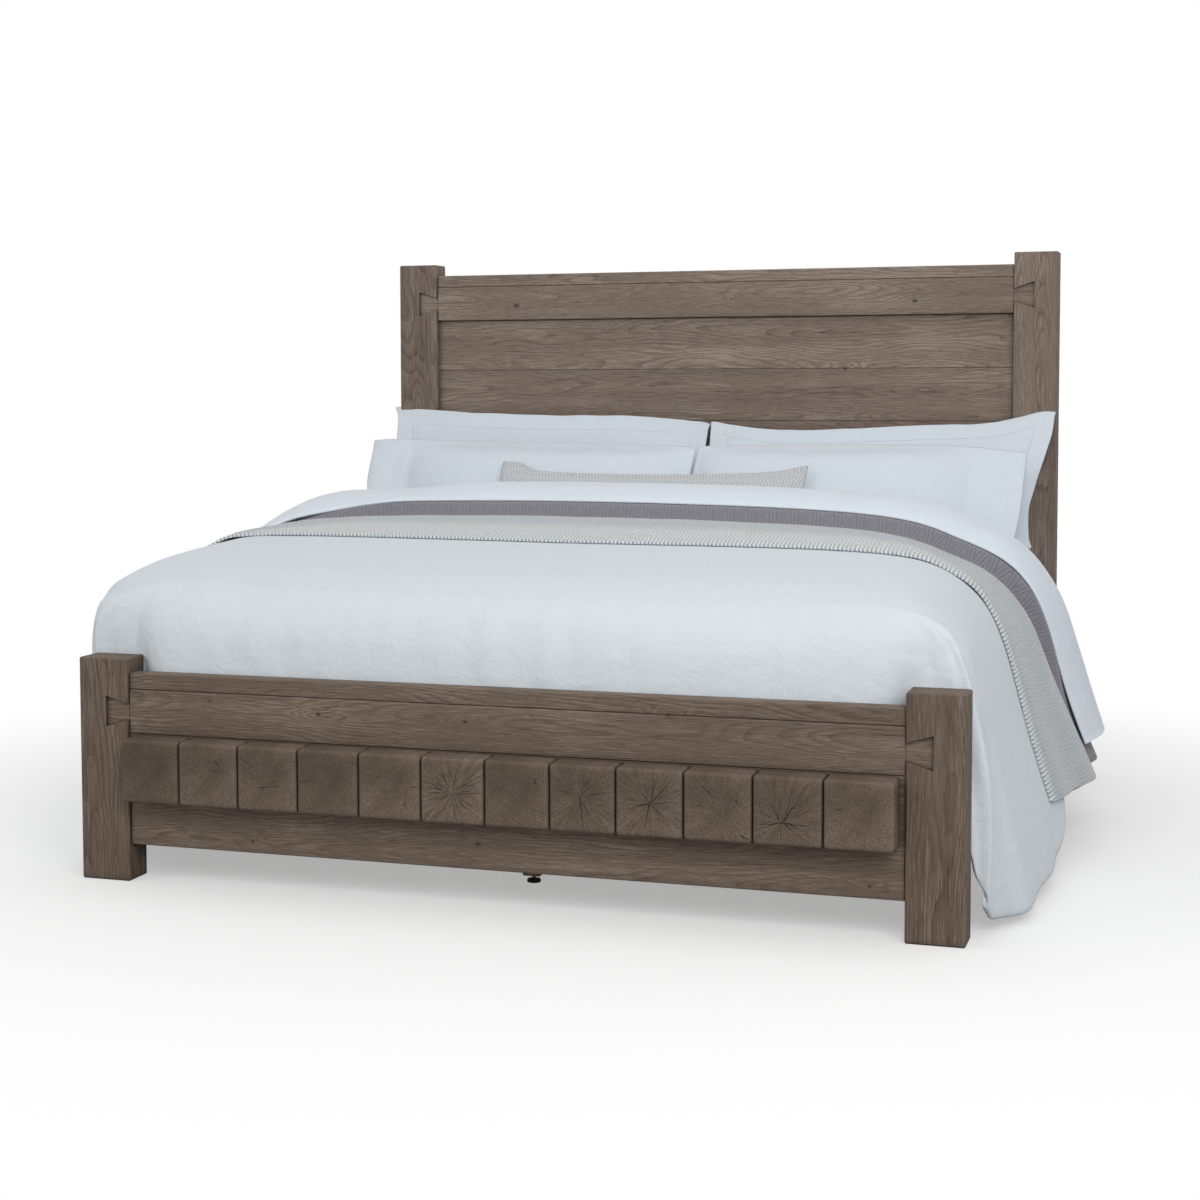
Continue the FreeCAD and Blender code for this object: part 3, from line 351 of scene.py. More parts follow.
def oak_end_grain(number, heart, ray_strength, checks):
    """heart and checks are in millimetres from the block's middle; each check is (x, z, x, z, half width)."""
    material, tree, shader, coords = new_material("oak_end_grain_%02d" % number, 0.78)
    seed = number * 7 - 4
    middle = ((number - 6.5) * BLOCK_PITCH, 0.0, BLOCK_HEIGHT)
    local = add(tree, "VectorMath.SUBTRACT", {0: coords, 1: middle})
    shake = add(tree, "TexNoise", {"Vector": local, "Scale": 22.0, "Detail": 3.0})
    wander = add(tree, "MapRange", {"Value": shake, "To Min": -0.003, "To Max": 0.003})
    drift = add(tree, "CombineXYZ", {"X": wander, "Z": wander})
    uneven = add(tree, "VectorMath.ADD", {0: local, 1: drift})
    from_heart = add(tree, "VectorMath.SUBTRACT", {0: uneven, 1: (heart[0] / 1000, 0.0, heart[1] / 1000)})
    plan = add(tree, "VectorMath.MULTIPLY", {0: from_heart, 1: (1.0, 0.0, 1.0)})
    radius = add(tree, "VectorMath.LENGTH", {0: plan})
    split = add(tree, "SeparateXYZ", {0: plan})
    angle = add(tree, "Math.ARCTAN2", {0: split.outputs["Z"], 1: split.outputs["X"]})
    year = add(tree, "Math.MULTIPLY", {0: radius.outputs["Value"], 1: TURN / END_GRAIN_YEAR})
    year = add(tree, "Math.SINE", {0: year})
    turn = add(tree, "Math.MULTIPLY", {0: angle, 1: RAY_COUNT / TURN})
    outward = add(tree, "Math.MULTIPLY", {0: radius.outputs["Value"], 1: 18.0})
    polar = add(tree, "CombineXYZ", {"X": turn, "Y": outward, "Z": float(seed)})
    rays = add(tree, "TexNoise", {"Vector": polar, "Scale": 1.0, "Detail": 2.0})
    fleck = add(tree, "TexNoise", {"Vector": local, "Scale": 420.0, "Detail": 2.0})
    patch = add(tree, "TexNoise", {"Vector": local, "Scale": 11.0, "Detail": 3.0})
    # the saw left fine slanting lines
    sawn = add(tree, "VectorRotate", {"Vector": local, "Axis": (0.0, 1.0, 0.0),
                                      "Angle": math.radians(-50.0 + 9.0 * (seed % 11))}, rotation_type="AXIS_ANGLE")
    sawn = add(tree, "VectorMath.MULTIPLY", {0: sawn, 1: (0.12, 1.0, 1.0)})
    saw = add(tree, "TexNoise", {"Vector": sawn, "Scale": 260.0, "Detail": 2.0})
    chance = add(tree, "ObjectInfo")
    tone = 0.04 * ray_strength - 0.02
    for part, weight in ((year, 0.018), (rays, 0.20 * ray_strength + 0.04), (fleck, 0.44), (saw, 0.07),
                         (patch, 0.34 - 0.16 * ray_strength), (chance.outputs["Random"], 0.07)):
        tone = add(tree, "Math.MULTIPLY_ADD", {0: part, 1: weight, 2: tone})
    colour = add(tree, "ValToRGB", {"Fac": tone}, stops=[(0.30, "#3a2d24"), (0.48, "#5c4e41"), (0.62, "#807163")])
    # fine rays that have opened near the heart
    gap = add(tree, "MapRange", {"Value": rays, "From Min": 0.44, "From Max": 0.34, "To Max": ray_strength ** 2})
    fade = add(tree, "MapRange", {"Value": radius.outputs["Value"], "From Min": 0.080, "From Max": 0.030,
                                  "To Min": 0.1, "To Max": 0.9})
    depth = add(tree, "Math.MULTIPLY", {0: gap, 1: fade})
    jag = add(tree, "TexNoise", {"Vector": local, "Scale": 90.0, "Detail": 2.0})
    jagged = add(tree, "MapRange", {"Value": jag, "To Min": -0.005, "To Max": 0.005})
    rough = add(tree, "CombineXYZ", {"X": jagged, "Z": jagged})
    crack_at = add(tree, "VectorMath.ADD", {0: local, 1: rough})
    for x1, z1, x2, z2, half in checks:
        # distance from the check's line, thinning to nothing at its outer end
        run = Vector(((x2 - x1) / 1000, 0.0, (z2 - z1) / 1000))
        start = add(tree, "VectorMath.SUBTRACT", {0: crack_at, 1: (x1 / 1000, 0.0, z1 / 1000)})
        onto = add(tree, "VectorMath.DOT_PRODUCT", {0: start, 1: tuple(run / run.length_squared)})
        share = add(tree, "Clamp", {"Value": onto.outputs["Value"]})
        reached = add(tree, "VectorMath.SCALE", {0: tuple(run), "Scale": share})
        off = add(tree, "VectorMath.SUBTRACT", {0: start, 1: reached})
        off = add(tree, "VectorMath.MULTIPLY", {0: off, 1: (1.0, 0.0, 1.0)})
        off = add(tree, "VectorMath.LENGTH", {0: off})
        width = add(tree, "MapRange", {"Value": share, "To Min": half / 1000, "To Max": half / 4000})
        mark = add(tree, "Math.DIVIDE", {0: off.outputs["Value"], 1: width})
        mark = add(tree, "MapRange", {"Value": mark, "From Min": 1.3, "From Max": 0.7})
        depth = add(tree, "Math.MAXIMUM", {0: depth, 1: mark})
    dark = add(tree, "MixRGB", {"Fac": depth, "Color1": colour, "Color2": linear("#1f1712")})
    # edges worn lighter, and painted shade in #1d1612 darkening the gaps between and under the blocks
    finished = worn_edges_and_painted_crevice_shade(tree, dark, "#83766a", "#1d1612", 0.007)
    relief = add(tree, "Math.SUBTRACT", {0: tone, 1: depth})
    bump = add(tree, "Bump", {"Height": relief, "Strength": 0.6, "Distance": 0.0015})
    feed(tree, shader, {"Base Color": finished, "Normal": bump})
    return material


def sawn_pine(name, stretch):
    """Plain softwood from the planer: yellow-brown with soft, wide lines."""
    material, tree, shader, coords = new_material(name, 0.7)
    along = add(tree, "VectorMath.MULTIPLY", {0: coords, 1: stretch})
    lines = add(tree, "TexNoise", {"Vector": along, "Scale": 160.0, "Detail": 3.0})
    colour = add(tree, "ValToRGB", {"Fac": lines}, stops=[(0.35, "#a07c50"), (0.5, "#c4a273"), (0.65, "#d3b486")])
    bump = add(tree, "Bump", {"Height": lines, "Strength": 0.3, "Distance": 0.0006})
    feed(tree, shader, {"Base Color": colour, "Normal": bump})
    return material


def zinc_steel():
    """Pressed steel with bright zinc: a faint spangle."""
    material, tree, shader, coords = new_material("zinc_steel", 0.42, Metallic=1.0)
    spangle = add(tree, "TexVoronoi", {"Vector": coords, "Scale": 220.0})
    colour = add(tree, "ValToRGB", {"Fac": spangle}, stops=[(0.0, "#9a9c9f"), (0.8, "#b9bbbd")])
    feed(tree, shader, {"Base Color": colour})
    return material


def moulded_nylon():
    """Black nylon straight from the mould, with a fine spark-eroded texture."""
    material, tree, shader, coords = new_material("moulded_nylon", 0.5)
    grit = add(tree, "TexNoise", {"Vector": coords, "Scale": 900.0, "Detail": 2.0})
    colour = add(tree, "ValToRGB", {"Fac": grit}, stops=[(0.3, "#161616"), (0.7, "#232323")])
    bump = add(tree, "Bump", {"Height": grit, "Strength": 0.3, "Distance": 0.0003})
    feed(tree, shader, {"Base Color": colour, "Normal": bump})
    return material


WOVEN_THREAD = 0.0022


def washed_cotton(name, colour, shade):
    """Washed cotton: a soft plain weave, uneven thread, and small creases that the iron left.

    The thread spacing of 0.4 mm is too fine to show, so it is drawn at 2.2 mm.
    """
    material, tree, shader, coords = new_material(name, 0.85, Sheen_Weight=0.2, Sheen_Roughness=0.5)
    threads = []
    for stretch in ((0.16, 0.5, 1.0), (1.0, 1.0, 0.16)):
        run = add(tree, "VectorMath.MULTIPLY", {0: coords, 1: stretch})
        threads.append(add(tree, "TexNoise", {"Vector": run, "Scale": 1 / WOVEN_THREAD, "Detail": 1.0}))
    weave = add(tree, "Math.ADD", {0: threads[0], 1: threads[1]})
    crease = add(tree, "TexNoise", {"Vector": coords, "Scale": 17.0, "Detail": 5.0, "Roughness": 0.58,
                                    "Distortion": 0.8})
    cloud = add(tree, "TexNoise", {"Vector": coords, "Scale": 5.0, "Detail": 2.0})
    both = add(tree, "Math.MULTIPLY_ADD", {0: cloud, 1: 0.35, 2: weave})
    tint = add(tree, "ValToRGB", {"Fac": both}, stops=[(0.85, shade), (1.35, colour)])
    fine = add(tree, "Bump", {"Height": weave, "Strength": 0.14, "Distance": 0.0006})
    soft = add(tree, "Bump", {"Height": crease, "Strength": 0.6, "Distance": 0.008, "Normal": fine})
    feed(tree, shader, {"Base Color": tint, "Normal": soft})
    return material


def chevron_knit(name, bright, shade, plain, stitch, row, lean, band):
    """Soft knitting in rows whose ridges lean left and right in turn.

    stitch is the distance from ridge to ridge and row the length of a row, in metres on the cloth, and lean the
    slope of the ridges. Within the band, measured from the front edge, the ridges are brighter. It gets narrower
    down the sides of the bed, where the edge is turned in.
    """
    material, tree, shader, coords = new_material(name, 0.92, "UV", Sheen_Weight=0.7, Sheen_Roughness=0.4)
    flat = add(tree, "SeparateXYZ", {0: coords})
    wobble = add(tree, "TexNoise", {"Vector": coords, "Scale": 45.0, "Detail": 2.0})
    nudge = add(tree, "VectorMath.SCALE", {0: wobble.outputs["Color"], "Scale": 0.4 * stitch})
    loose = add(tree, "VectorMath.ADD", {0: coords, 1: nudge})
    split = add(tree, "SeparateXYZ", {0: loose})
    zig = add(tree, "Math.PINGPONG", {0: split.outputs["Y"], 1: row})
    leaning = add(tree, "Math.MULTIPLY_ADD", {0: zig, 1: lean, 2: split.outputs["X"]})
    ridge = add(tree, "Math.MULTIPLY", {0: leaning, 1: TURN / stitch})
    ridge = add(tree, "Math.SINE", {0: ridge})
    fuzz = add(tree, "TexNoise", {"Vector": coords, "Scale": 300.0, "Detail": 3.0})
    knots = add(tree, "TexNoise", {"Vector": coords, "Scale": 110.0, "Detail": 2.0})
    uneven = add(tree, "Math.MULTIPLY", {0: ridge, 1: knots})
    height = add(tree, "Math.MULTIPLY_ADD", {0: uneven, 1: 0.62, 2: fuzz})
    aside = add(tree, "Math.ABSOLUTE", {0: flat.outputs["X"]})
    edge = add(tree, "MapRange", {"Value": aside, "From Min": 0.75, "From Max": 1.05,
                                  "To Min": band, "To Max": band * 0.15}, interpolation_type="SMOOTHSTEP")
    reach = add(tree, "Math.DIVIDE", {0: flat.outputs["Y"], 1: edge})
    inside = add(tree, "MapRange", {"Value": reach, "From Min": 0.75, "From Max": 1.2, "To Min": 1.0, "To Max": 0.0})
    rich = add(tree, "ValToRGB", {"Fac": height}, stops=[(0.25, shade), (0.75, bright)])
    calm = add(tree, "ValToRGB", {"Fac": height}, stops=[(0.05, shade), (0.55, plain), (1.0, plain)])
    tint = add(tree, "MixRGB", {"Fac": inside, "Color1": calm, "Color2": rich})
    bump = add(tree, "Bump", {"Height": height, "Strength": 0.7, "Distance": 0.004})
    feed(tree, shader, {"Base Color": tint, "Normal": bump})
    return material


HERRINGBONE_WIDTH, HERRINGBONE_LENGTH = 0.030, 0.070


def fulled_wool():
    """Grey wool, fulled until the weave closes: a short even nap over a faint herringbone.

    The herringbone is drawn several times longer than wide, as it would vanish when seen along the bed's top.
    """
    material, tree, shader, coords = new_material("fulled_wool", 0.95, "UV", Sheen_Weight=0.3, Sheen_Roughness=0.5)
    split = add(tree, "SeparateXYZ", {0: coords})
    zig = add(tree, "Math.PINGPONG", {0: split.outputs["X"], 1: HERRINGBONE_WIDTH})
    twill = add(tree, "Math.MULTIPLY_ADD", {0: zig, 1: 7.0, 2: split.outputs["Y"]})
    twill = add(tree, "Math.MULTIPLY", {0: twill, 1: TURN / HERRINGBONE_LENGTH})
    twill = add(tree, "Math.SINE", {0: twill})
    nap = add(tree, "TexNoise", {"Vector": coords, "Scale": 380.0, "Detail": 3.0})
    both = add(tree, "Math.MULTIPLY_ADD", {0: twill, 1: 0.16, 2: nap})
    tint = add(tree, "ValToRGB", {"Fac": both}, stops=[(0.3, "#6b6b73"), (0.7, "#86858c")])
    bump = add(tree, "Bump", {"Height": both, "Strength": 0.5, "Distance": 0.0015})
    feed(tree, shader, {"Base Color": tint, "Normal": bump})
    return material


# The bed's cross-section under the covers. For each distance from the foot: the height in the middle, then for
# the left and the right side the end of the flat top, the shoulder, the start of the drop, the middle of the
# drop and the lower end, each as (distance from the middle, height).
SECTION_AT = (150, 300, 500, 800, 1250, 1660)
SECTIONS = (
    (722, ((870, 722), (1040, 708), (1097, 662), (1082, 330), (1132, 45)),
          ((850, 716), (985, 685), (1055, 590), (1092, 320), (1130, 50))),
    (752, ((890, 755), (1063, 737), (1139, 666), (1122, 330), (1176, 32)),
          ((800, 748), (965, 706), (1050, 595), (1114, 300), (1172, 46))),
    (770, ((900, 774), (1070, 752), (1141, 655), (1160, 340), (1196, 40)),
          ((760, 764), (950, 718), (1045, 600), (1121, 320), (1192, 54))),
    (784, ((905, 787), (1074, 760), (1146, 657), (1177, 350), (1208, 52)),
          ((700, 777), (930, 727), (1038, 605), (1124, 325), (1208, 64))),
    (810, ((860, 801), (1046, 768), (1136, 654), (1182, 350), (1230, 70)),
          ((600, 790), (865, 728), (1022, 622), (1147, 346), (1270, 70))),
    (812, ((850, 798), (1025, 766), (1118, 650), (1178, 350), (1230, 70)),
          ((600, 790), (865, 730), (1024, 628), (1149, 346), (1270, 70))),
)


def fold_of_drop(distance, side):
    """How far the hem swings out where the hanging side falls in soft upright folds."""
    swing = math.sin(TURN * distance / 290.0 + (1.2 if side > 0 else 2.6))
    return 7.0 * swing + 5.0 * float(ripple(distance + 900.0 * side, 0.0, 380.0, 11, 2))


def section_controls(distance):
    """Control points (across, height) of the cross-section, from the left end over the top to the right end."""
    table = [[(-x, z) for x, z in reversed(left)] + [((right[0][0] - left[0][0]) / 2, middle)] + list(right)
             for middle, left, right in SECTIONS]
    controls = eased_between(SECTION_AT, table, distance)[0]
    for side, hem, drop in ((-1, 0, 1), (1, 10, 9)):
        swing = side * fold_of_drop(distance, side)
        controls[hem, 0] += swing
        controls[drop, 0] += 0.55 * swing
    return controls


SECTION_POINTS = 241


def at_distance(line, distance):
    """A line of (across, height) points, put at a distance from the foot."""
    return np.column_stack([line[:, 0], np.full(len(line), distance), line[:, 1]])


def section_table(distances):
    """Evenly spaced points over the bed at each distance, as an array (distance, point, 3)."""
    return np.array([at_distance(through(section_controls(d), SECTION_POINTS), d) for d in distances])


# Duvet. Its top is a grid. From the grid's two sides and its foot edge a skirt hangs down: at the sides to the
# hem, at the foot down between footboard and mattress. At the corners the skirt passes behind the foot posts.
TOP_FOOT = 150.0
DUVET_HEAD = 1600.0
SIDE_COLUMNS = 66
FOOT_COLUMNS = 81
CORNER_COLUMNS = 22
SKIRT_ROWS = 36


def hem_height(distance):
    """The duvet hangs lowest in a lobe at each foot corner, and higher along the sides."""
    low = section_controls(distance)[0, 1]
    return low + (162.0 - low) * eased((distance - 760.0) / 230.0)


def foot_column(x):
    """The skirt at the foot, from the top's edge down behind the cap rail, drawn into small puckers."""
    lift = 4.0 * math.cos(x / 230.0)
    pucker = float(ripple(x, 0.0, 105.0, 5, 2) + 0.6 * ripple(x, 0.0, 64.0, 6, 1))
    return [(x * 0.965, TOP_FOOT, 721 - (x / 900.0) ** 2 * 4), (x * 0.985, 98 + 4 * pucker, 680 + lift),
            (x, 70 + 6 * pucker, 628), (x, 61 + 4 * pucker, 560), (x, 60, 500), (x, 64, 436)]


def corner_columns(side):
    """Skirt columns from the side of the bed round behind the foot post to the footboard."""
    c = section_controls(TOP_FOOT)
    line = c[6:] if side > 0 else c[4::-1]
    start = [(x, TOP_FOOT, z) for x, z in line]
    top = start[0]
    out = 22 if side < 0 else 0
    return [
        start,
        [top, (side * (1004 + out), 124, 690 + out / 2), (side * (1068 + out), 112, 592 + 2 * out),
         (side * 1092, 110, 470), (side * 1100, 114, 290), (side * 1112, 124, 62)],
        [top, (side * (990 + out), 112, 684 + out / 2), (side * (1050 + out), 99, 596 + 2 * out),
         (side * 1068, 97, 500), (side * 1074, 98, 330), (side * 1082, 101, 96)],
        [top, (side * (975 + out / 2), 108, 681), (side * (1026 + out / 2), 97, 602 + out), (side * 1040, 95, 500),
         (side * 1044, 95, 330), (side * 1050, 96, 150)],
        [top, (side * 940, 105, 680), (side * 976, 95, 610), (side * 990, 95, 548), (side * 992, 95, 500),
         (side * 992, 95, 436)],
        [top, (side * 915, 102, 680), (side * 938, 88, 620), (side * 940, 93, 548), (side * 938, 94, 500),
         (side * 936, 94, 436)],
        foot_column(top[0] / 0.965),
    ]


def drawn_folds(columns, side):
    """Soft folds that run down the corner from where the cloth is drawn in behind the post."""
    middle = np.array([side * 880.0, 230.0, 0.0])
    for k, column in enumerate(columns):
        # no fold at the corner's two ends, where the sides and the foot take over
        outward = column - middle
        outward[:, 2] = 0.0
        outward /= np.linalg.norm(outward, axis=1)[:, None]
        strength = np.clip((704.0 - column[:, 2]) / 90.0, 0, 1) * math.sin(math.pi * k / (len(columns) - 1))
        column += outward * (strength * 6.0 * math.sin(TURN * k / 5.3 + side))[:, None]
    return columns


def skirt_column(points):
    """A skirt's column that leaves the top's edge in the direction in which the top runs out to it."""
    p = np.asarray(points, float)
    inner = p[0] + (p[0] - p[1]) * np.array([0.35, 0.35, 0.0]) + np.array([0, 0, 1.5])
    whole = through(np.vstack([inner, p]), 4 * SKIRT_ROWS)
    first = int(np.argmin(np.linalg.norm(whole - p[0], axis=1)))
    return through(whole[first::3], SKIRT_ROWS)


def duvet_shape():
    """The points of the duvet's top and of its skirt, in millimetres, and the distances of the top's rows."""
    distances = np.linspace(TOP_FOOT, DUVET_HEAD, SIDE_COLUMNS)
    top = np.zeros((SIDE_COLUMNS, FOOT_COLUMNS, 3))
    left, right = [], []
    for r, d in enumerate(distances):
        controls = section_controls(d)
        line = through(controls, SECTION_POINTS)
        a = int(np.argmin(np.linalg.norm(line - controls[4], axis=1)))
        b = int(np.argmin(np.linalg.norm(line - controls[6], axis=1)))
        flat = through(line[a:b + 1:6] if (b - a) % 6 == 0 else np.vstack([line[a:b:6], line[b:b + 1]]), FOOT_COLUMNS)
        top[r] = at_distance(flat, d)
        for drop, kept in ((line[:a + 1][::-1], left), (line[b:], right)):
            kept.append(at_distance(through(ended_at(drop, hem_height(d)), SKIRT_ROWS), d))
    foot = [skirt_column(foot_column(x)) for x in top[0, :, 0] / 0.965]
    corners = []
    for side in (-1, 1):
        stations = np.array([skirt_column(c) for c in corner_columns(side)])
        at = np.linspace(0, len(stations) - 1, CORNER_COLUMNS)
        corners.append(drawn_folds(eased_between(np.arange(len(stations)), stations, at), side))
    # the skirt's columns in order: left side from the head, left corner, foot, right corner, right side
    skirt = left[::-1] + list(corners[0][1:-1]) + foot[1:-1] + list(corners[1][::-1][1:-1]) + right
    return top, np.array(skirt), distances


POST_INSIDE, POST_TOP, POST_BACK = 932.0, 552.0, 94.0


def clear_of_posts(points):
    """Cloth beside a foot post lies behind it: points in the post's way move back to just behind it."""
    aside = eased((np.abs(points[:, 0]) - POST_INSIDE + 24.0) / 24.0)
    below = np.clip((POST_TOP + 20.0 - points[:, 2]) / 20.0, 0, 1)
    points[:, 1] = np.maximum(points[:, 1], POST_BACK * aside * below)
    return points


def duvet_mesh():
    top, skirt, distances = duvet_shape()
    rows, columns = top.shape[:2]
    points = list(top.reshape(-1, 3))
    across = np.cumsum(np.linalg.norm(np.diff(top, axis=1, prepend=top[:, :1]), axis=2), axis=1)
    across -= across[:, columns // 2][:, None]
    uv = list(np.stack([across / 1000, np.repeat(distances[:, None], columns, 1) / 1000], axis=2).reshape(-1, 2))
    # each column of the skirt hangs from a point of the top's edge, and its cloth heads outward from there
    edge = ([(r * columns, (-1, 0)) for r in range(rows - 1, -1, -1)]
            + [(0, (-0.7, -0.7))] * (CORNER_COLUMNS - 2)
            + [(c, (0, -1)) for c in range(1, columns - 1)]
            + [(columns - 1, (0.7, -0.7))] * (CORNER_COLUMNS - 2)
            + [(r * columns + columns - 1, (1, 0)) for r in range(rows)])
    faces = grid_faces(rows, columns)
    previous = None
    for column, (start, heading) in zip(skirt, edge):
        numbers = [start]
        run = travelled(column) / 1000
        for k in range(1, len(column)):
            numbers.append(len(points))
            points.append(column[k])
            uv.append(uv[start] + run[k] * np.array(heading))
        if previous is not None:
            for k in range(len(column) - 1):
                face = (previous[k], previous[k + 1], numbers[k + 1], numbers[k])
                faces.append(face[:3] if face[0] == face[3] else face)
        previous = numbers
    return mesh_piece("duvet_cover", place(clear_of_posts(np.array(points))), faces, uv)


def run_cloth(piece, frames, limit, **settings):
    """Runs the piece as cloth and keeps the shape. No point moves by more than its limit in metres."""
    before = coordinates(piece)
    cloth = modify(piece, "Cloth", "CLOTH")
    set_up(cloth.settings, **settings)
    cloth.settings.effector_weights.gravity = 0.0 if cloth.settings.use_pressure else 1.0
    set_up(cloth.collision_settings, distance_min=0.003, collision_quality=2)
    set_up(cloth.point_cache, frame_start=1, frame_end=frames)
    for f in range(1, frames + 1):
        bpy.context.scene.frame_set(f)
    apply_modifiers(piece)
    bpy.context.scene.frame_set(1)
    moved = coordinates(piece) - before
    far = np.linalg.norm(moved, axis=1)
    set_coordinates(piece, before + moved * np.minimum(1.0, limit / np.maximum(far, 1e-9))[:, None])


def settle(piece, frames, limit, growth, collisions):
    """Lets the cloth settle a little under its own weight, on what it lies on."""
    for other in collisions:
        modify(other, "Collision", "COLLISION")
        set_up(other.collision, thickness_outer=0.003, cloth_friction=12.0)
    run_cloth(piece, frames, limit, quality=5, mass=0.35, tension_stiffness=25.0, compression_stiffness=12.0,
              shear_stiffness=6.0, bending_stiffness=0.6, air_damping=3.0, shrink_min=-growth)
    for other in collisions:
        other.modifiers.clear()


def filling_under(piece, inset):
    """A copy of the cover pulled in along its normals, which carries it while it settles."""
    copy = put("filling", piece.data.copy())
    set_coordinates(copy, coordinates(copy) - coordinates(copy, "normal") * inset)
    return copy


def from_corners(points):
    """How far each point is from the nearer foot corner of the duvet's top, in millimetres."""
    line = section_controls(TOP_FOOT)
    corners = place([(line[i][0], TOP_FOOT, line[i][1]) for i in (4, 6)])
    return np.min([np.linalg.norm(points - corner, axis=1) for corner in corners], axis=0) * 1000


def ease_corners(piece):
    """Evens out the cloth where the skirt turns the two foot corners."""
    near = from_corners(coordinates(piece))
    corners = piece.vertex_groups.new(name="corners")
    for i in np.where(near < 180.0)[0]:
        corners.add([int(i)], float(1 - near[i] / 180.0), "REPLACE")
    modify(piece, "even", "SMOOTH", factor=0.5, iterations=20, vertex_group="corners")


def thicken(piece, thickness):
    """Gives the cloth its thickness, inward from what shows."""
    modify(piece, "thickness", "SOLIDIFY", thickness=thickness, offset=-1.0, use_rim=True)
    smooth_out(piece)


def smooth_out(piece):
    modify(piece, "smooth", "SUBSURF", levels=1, render_levels=1)


# Layers over the duvet. Each is a closed loop of stations, carried across the bed: a station gives for every
# share of the way to the hems its distance from the foot and its height off the duvet.
ACROSS = 201
SHARES = np.linspace(-1, 1, ACROSS)
CLOTH = SHARES * 1500           # the same in millimetres of cloth, for its unevenness
LAID = 3.8                      # the wool blanket's middle over the duvet


class BedSurface:
    """The duvet's outer surface between two distances, with its normals."""

    def __init__(self, low, high, step=10.0):
        self.at = np.arange(low, high + step, step)
        self.table = section_table(self.at)
        normal = np.cross(np.gradient(self.table, axis=1), np.gradient(self.table, self.at, axis=0))
        self.normal = normal / np.linalg.norm(normal, axis=2)[:, :, None]
        steps = np.linalg.norm(np.diff(self.table, axis=1), axis=2)
        self.run = np.concatenate([np.zeros((len(self.at), 1)), np.cumsum(steps, axis=1)], axis=1)

    def point(self, share, distance, height, hem):
        """The point at a share of the way to the hem's height, and how far along the cloth it is."""
        k = (distance - self.at[0]) / (self.at[1] - self.at[0])
        k, t = int(k), k - int(k)
        points, normals, run = (a[k] * (1 - t) + a[k + 1] * t for a in (self.table, self.normal, self.run))
        half = SECTION_POINTS // 2
        middle = np.interp(0.0, points[:, 0], run)
        end = np.interp(hem, points[:half, 2], run[:half]) if share < 0 else np.interp(
            -hem, -points[half:, 2], run[half:])
        s = middle + abs(share) * (end - middle)
        spot = np.array([np.interp(s, run, points[:, c]) for c in range(3)])
        out = np.array([np.interp(s, run, normals[:, c]) for c in range(3)])
        return spot + out * height, s - middle


def layer_piece(name, surface, stations, hem):
    """The closed layer through the stations, from hem to hem."""
    rows, uvs = [], []
    gone = 0.0
    for distances, heights in stations:
        made = [surface.point(share, d, h, hem(d)) for share, d, h in zip(SHARES, distances, heights)]
        line = np.array([point for point, _ in made])
        if rows:
            gone += float(np.linalg.norm(line[ACROSS // 2] - rows[-1][ACROSS // 2])) / 1000
        rows.append(line)
        uvs += [(flat / 1000, gone) for _, flat in made]
    faces = grid_faces(len(rows), ACROSS, closed_rows=True)
    faces.append(tuple(r * ACROSS for r in range(len(rows) - 1, -1, -1)))
    faces.append(tuple(r * ACROSS + ACROSS - 1 for r in range(len(rows))))
    return mesh_piece(name, place(np.array(rows).reshape(-1, 3)), faces, uvs)


def cloth_loop(path, thickness, rolled=0.0):
    """A cloth along a path of stations: over its top, round its edge and back underneath. rolled thickens the
    front edge, where the cloth is turned in."""
    half = thickness / 2
    first, last = path[0], path[-1]
    edge = half + rolled / 2
    loop = [(first[0] - edge * math.cos(a), first[1] + rolled / 2 + edge * math.sin(a)) for a in (-0.9, 0.0, 0.9)]
    for d, h in path:
        roll = rolled * math.exp(-float(np.mean(d - first[0])) / 11.0)
        loop.append((d, h + half + roll))
    loop += [(last[0] + half * math.cos(a), last[1] + half * math.sin(a)) for a in (0.9, 0.0, -0.9)]
    return loop + [(d, h - half) for d, h in path[::-2]]


def down_the_drop():
    """0 on the bed's top, 1 at the fold's hem."""
    return np.clip((np.abs(SHARES) - 0.62) / 0.38, 0, 1)


def turndown_front():
    """Where the fold's front edge lies: straight across the bed, and nearer the foot on the left side."""
    known_share = (-1.0, -0.80, -0.70, -0.65, -0.60, -0.54, -0.43, -0.26, 0.0, 1.0)
    known_distance = (1040.0, 1042.0, 1052.0, 1083.0, 1160.0, 1244.0, 1296.0, 1318.0, 1320.0, 1320.0)
    return np.interp(SHARES, known_share, known_distance) + 3.0 * ripple(CLOTH, 0.0, 240.0, 51)


def turndown_base():
    """How high the fold's front edge lies off the duvet, on the blanket that is turned back under it."""
    on_top = 17.0 + 33.0 * eased((SHARES + 0.66) / 0.22)
    drop = down_the_drop()
    return np.maximum(on_top + 4.0 * eased(drop / 0.2) - 30.0 * eased((drop - 0.2) / 0.8), 14.0)


def throw_back():
    """The throw's far edge, which runs askew on the left."""
    return 1250.0 - 100.0 * eased((-SHARES - 0.40) / 0.22) + 3.0 * ripple(CLOTH, 0.0, 340.0, 42)


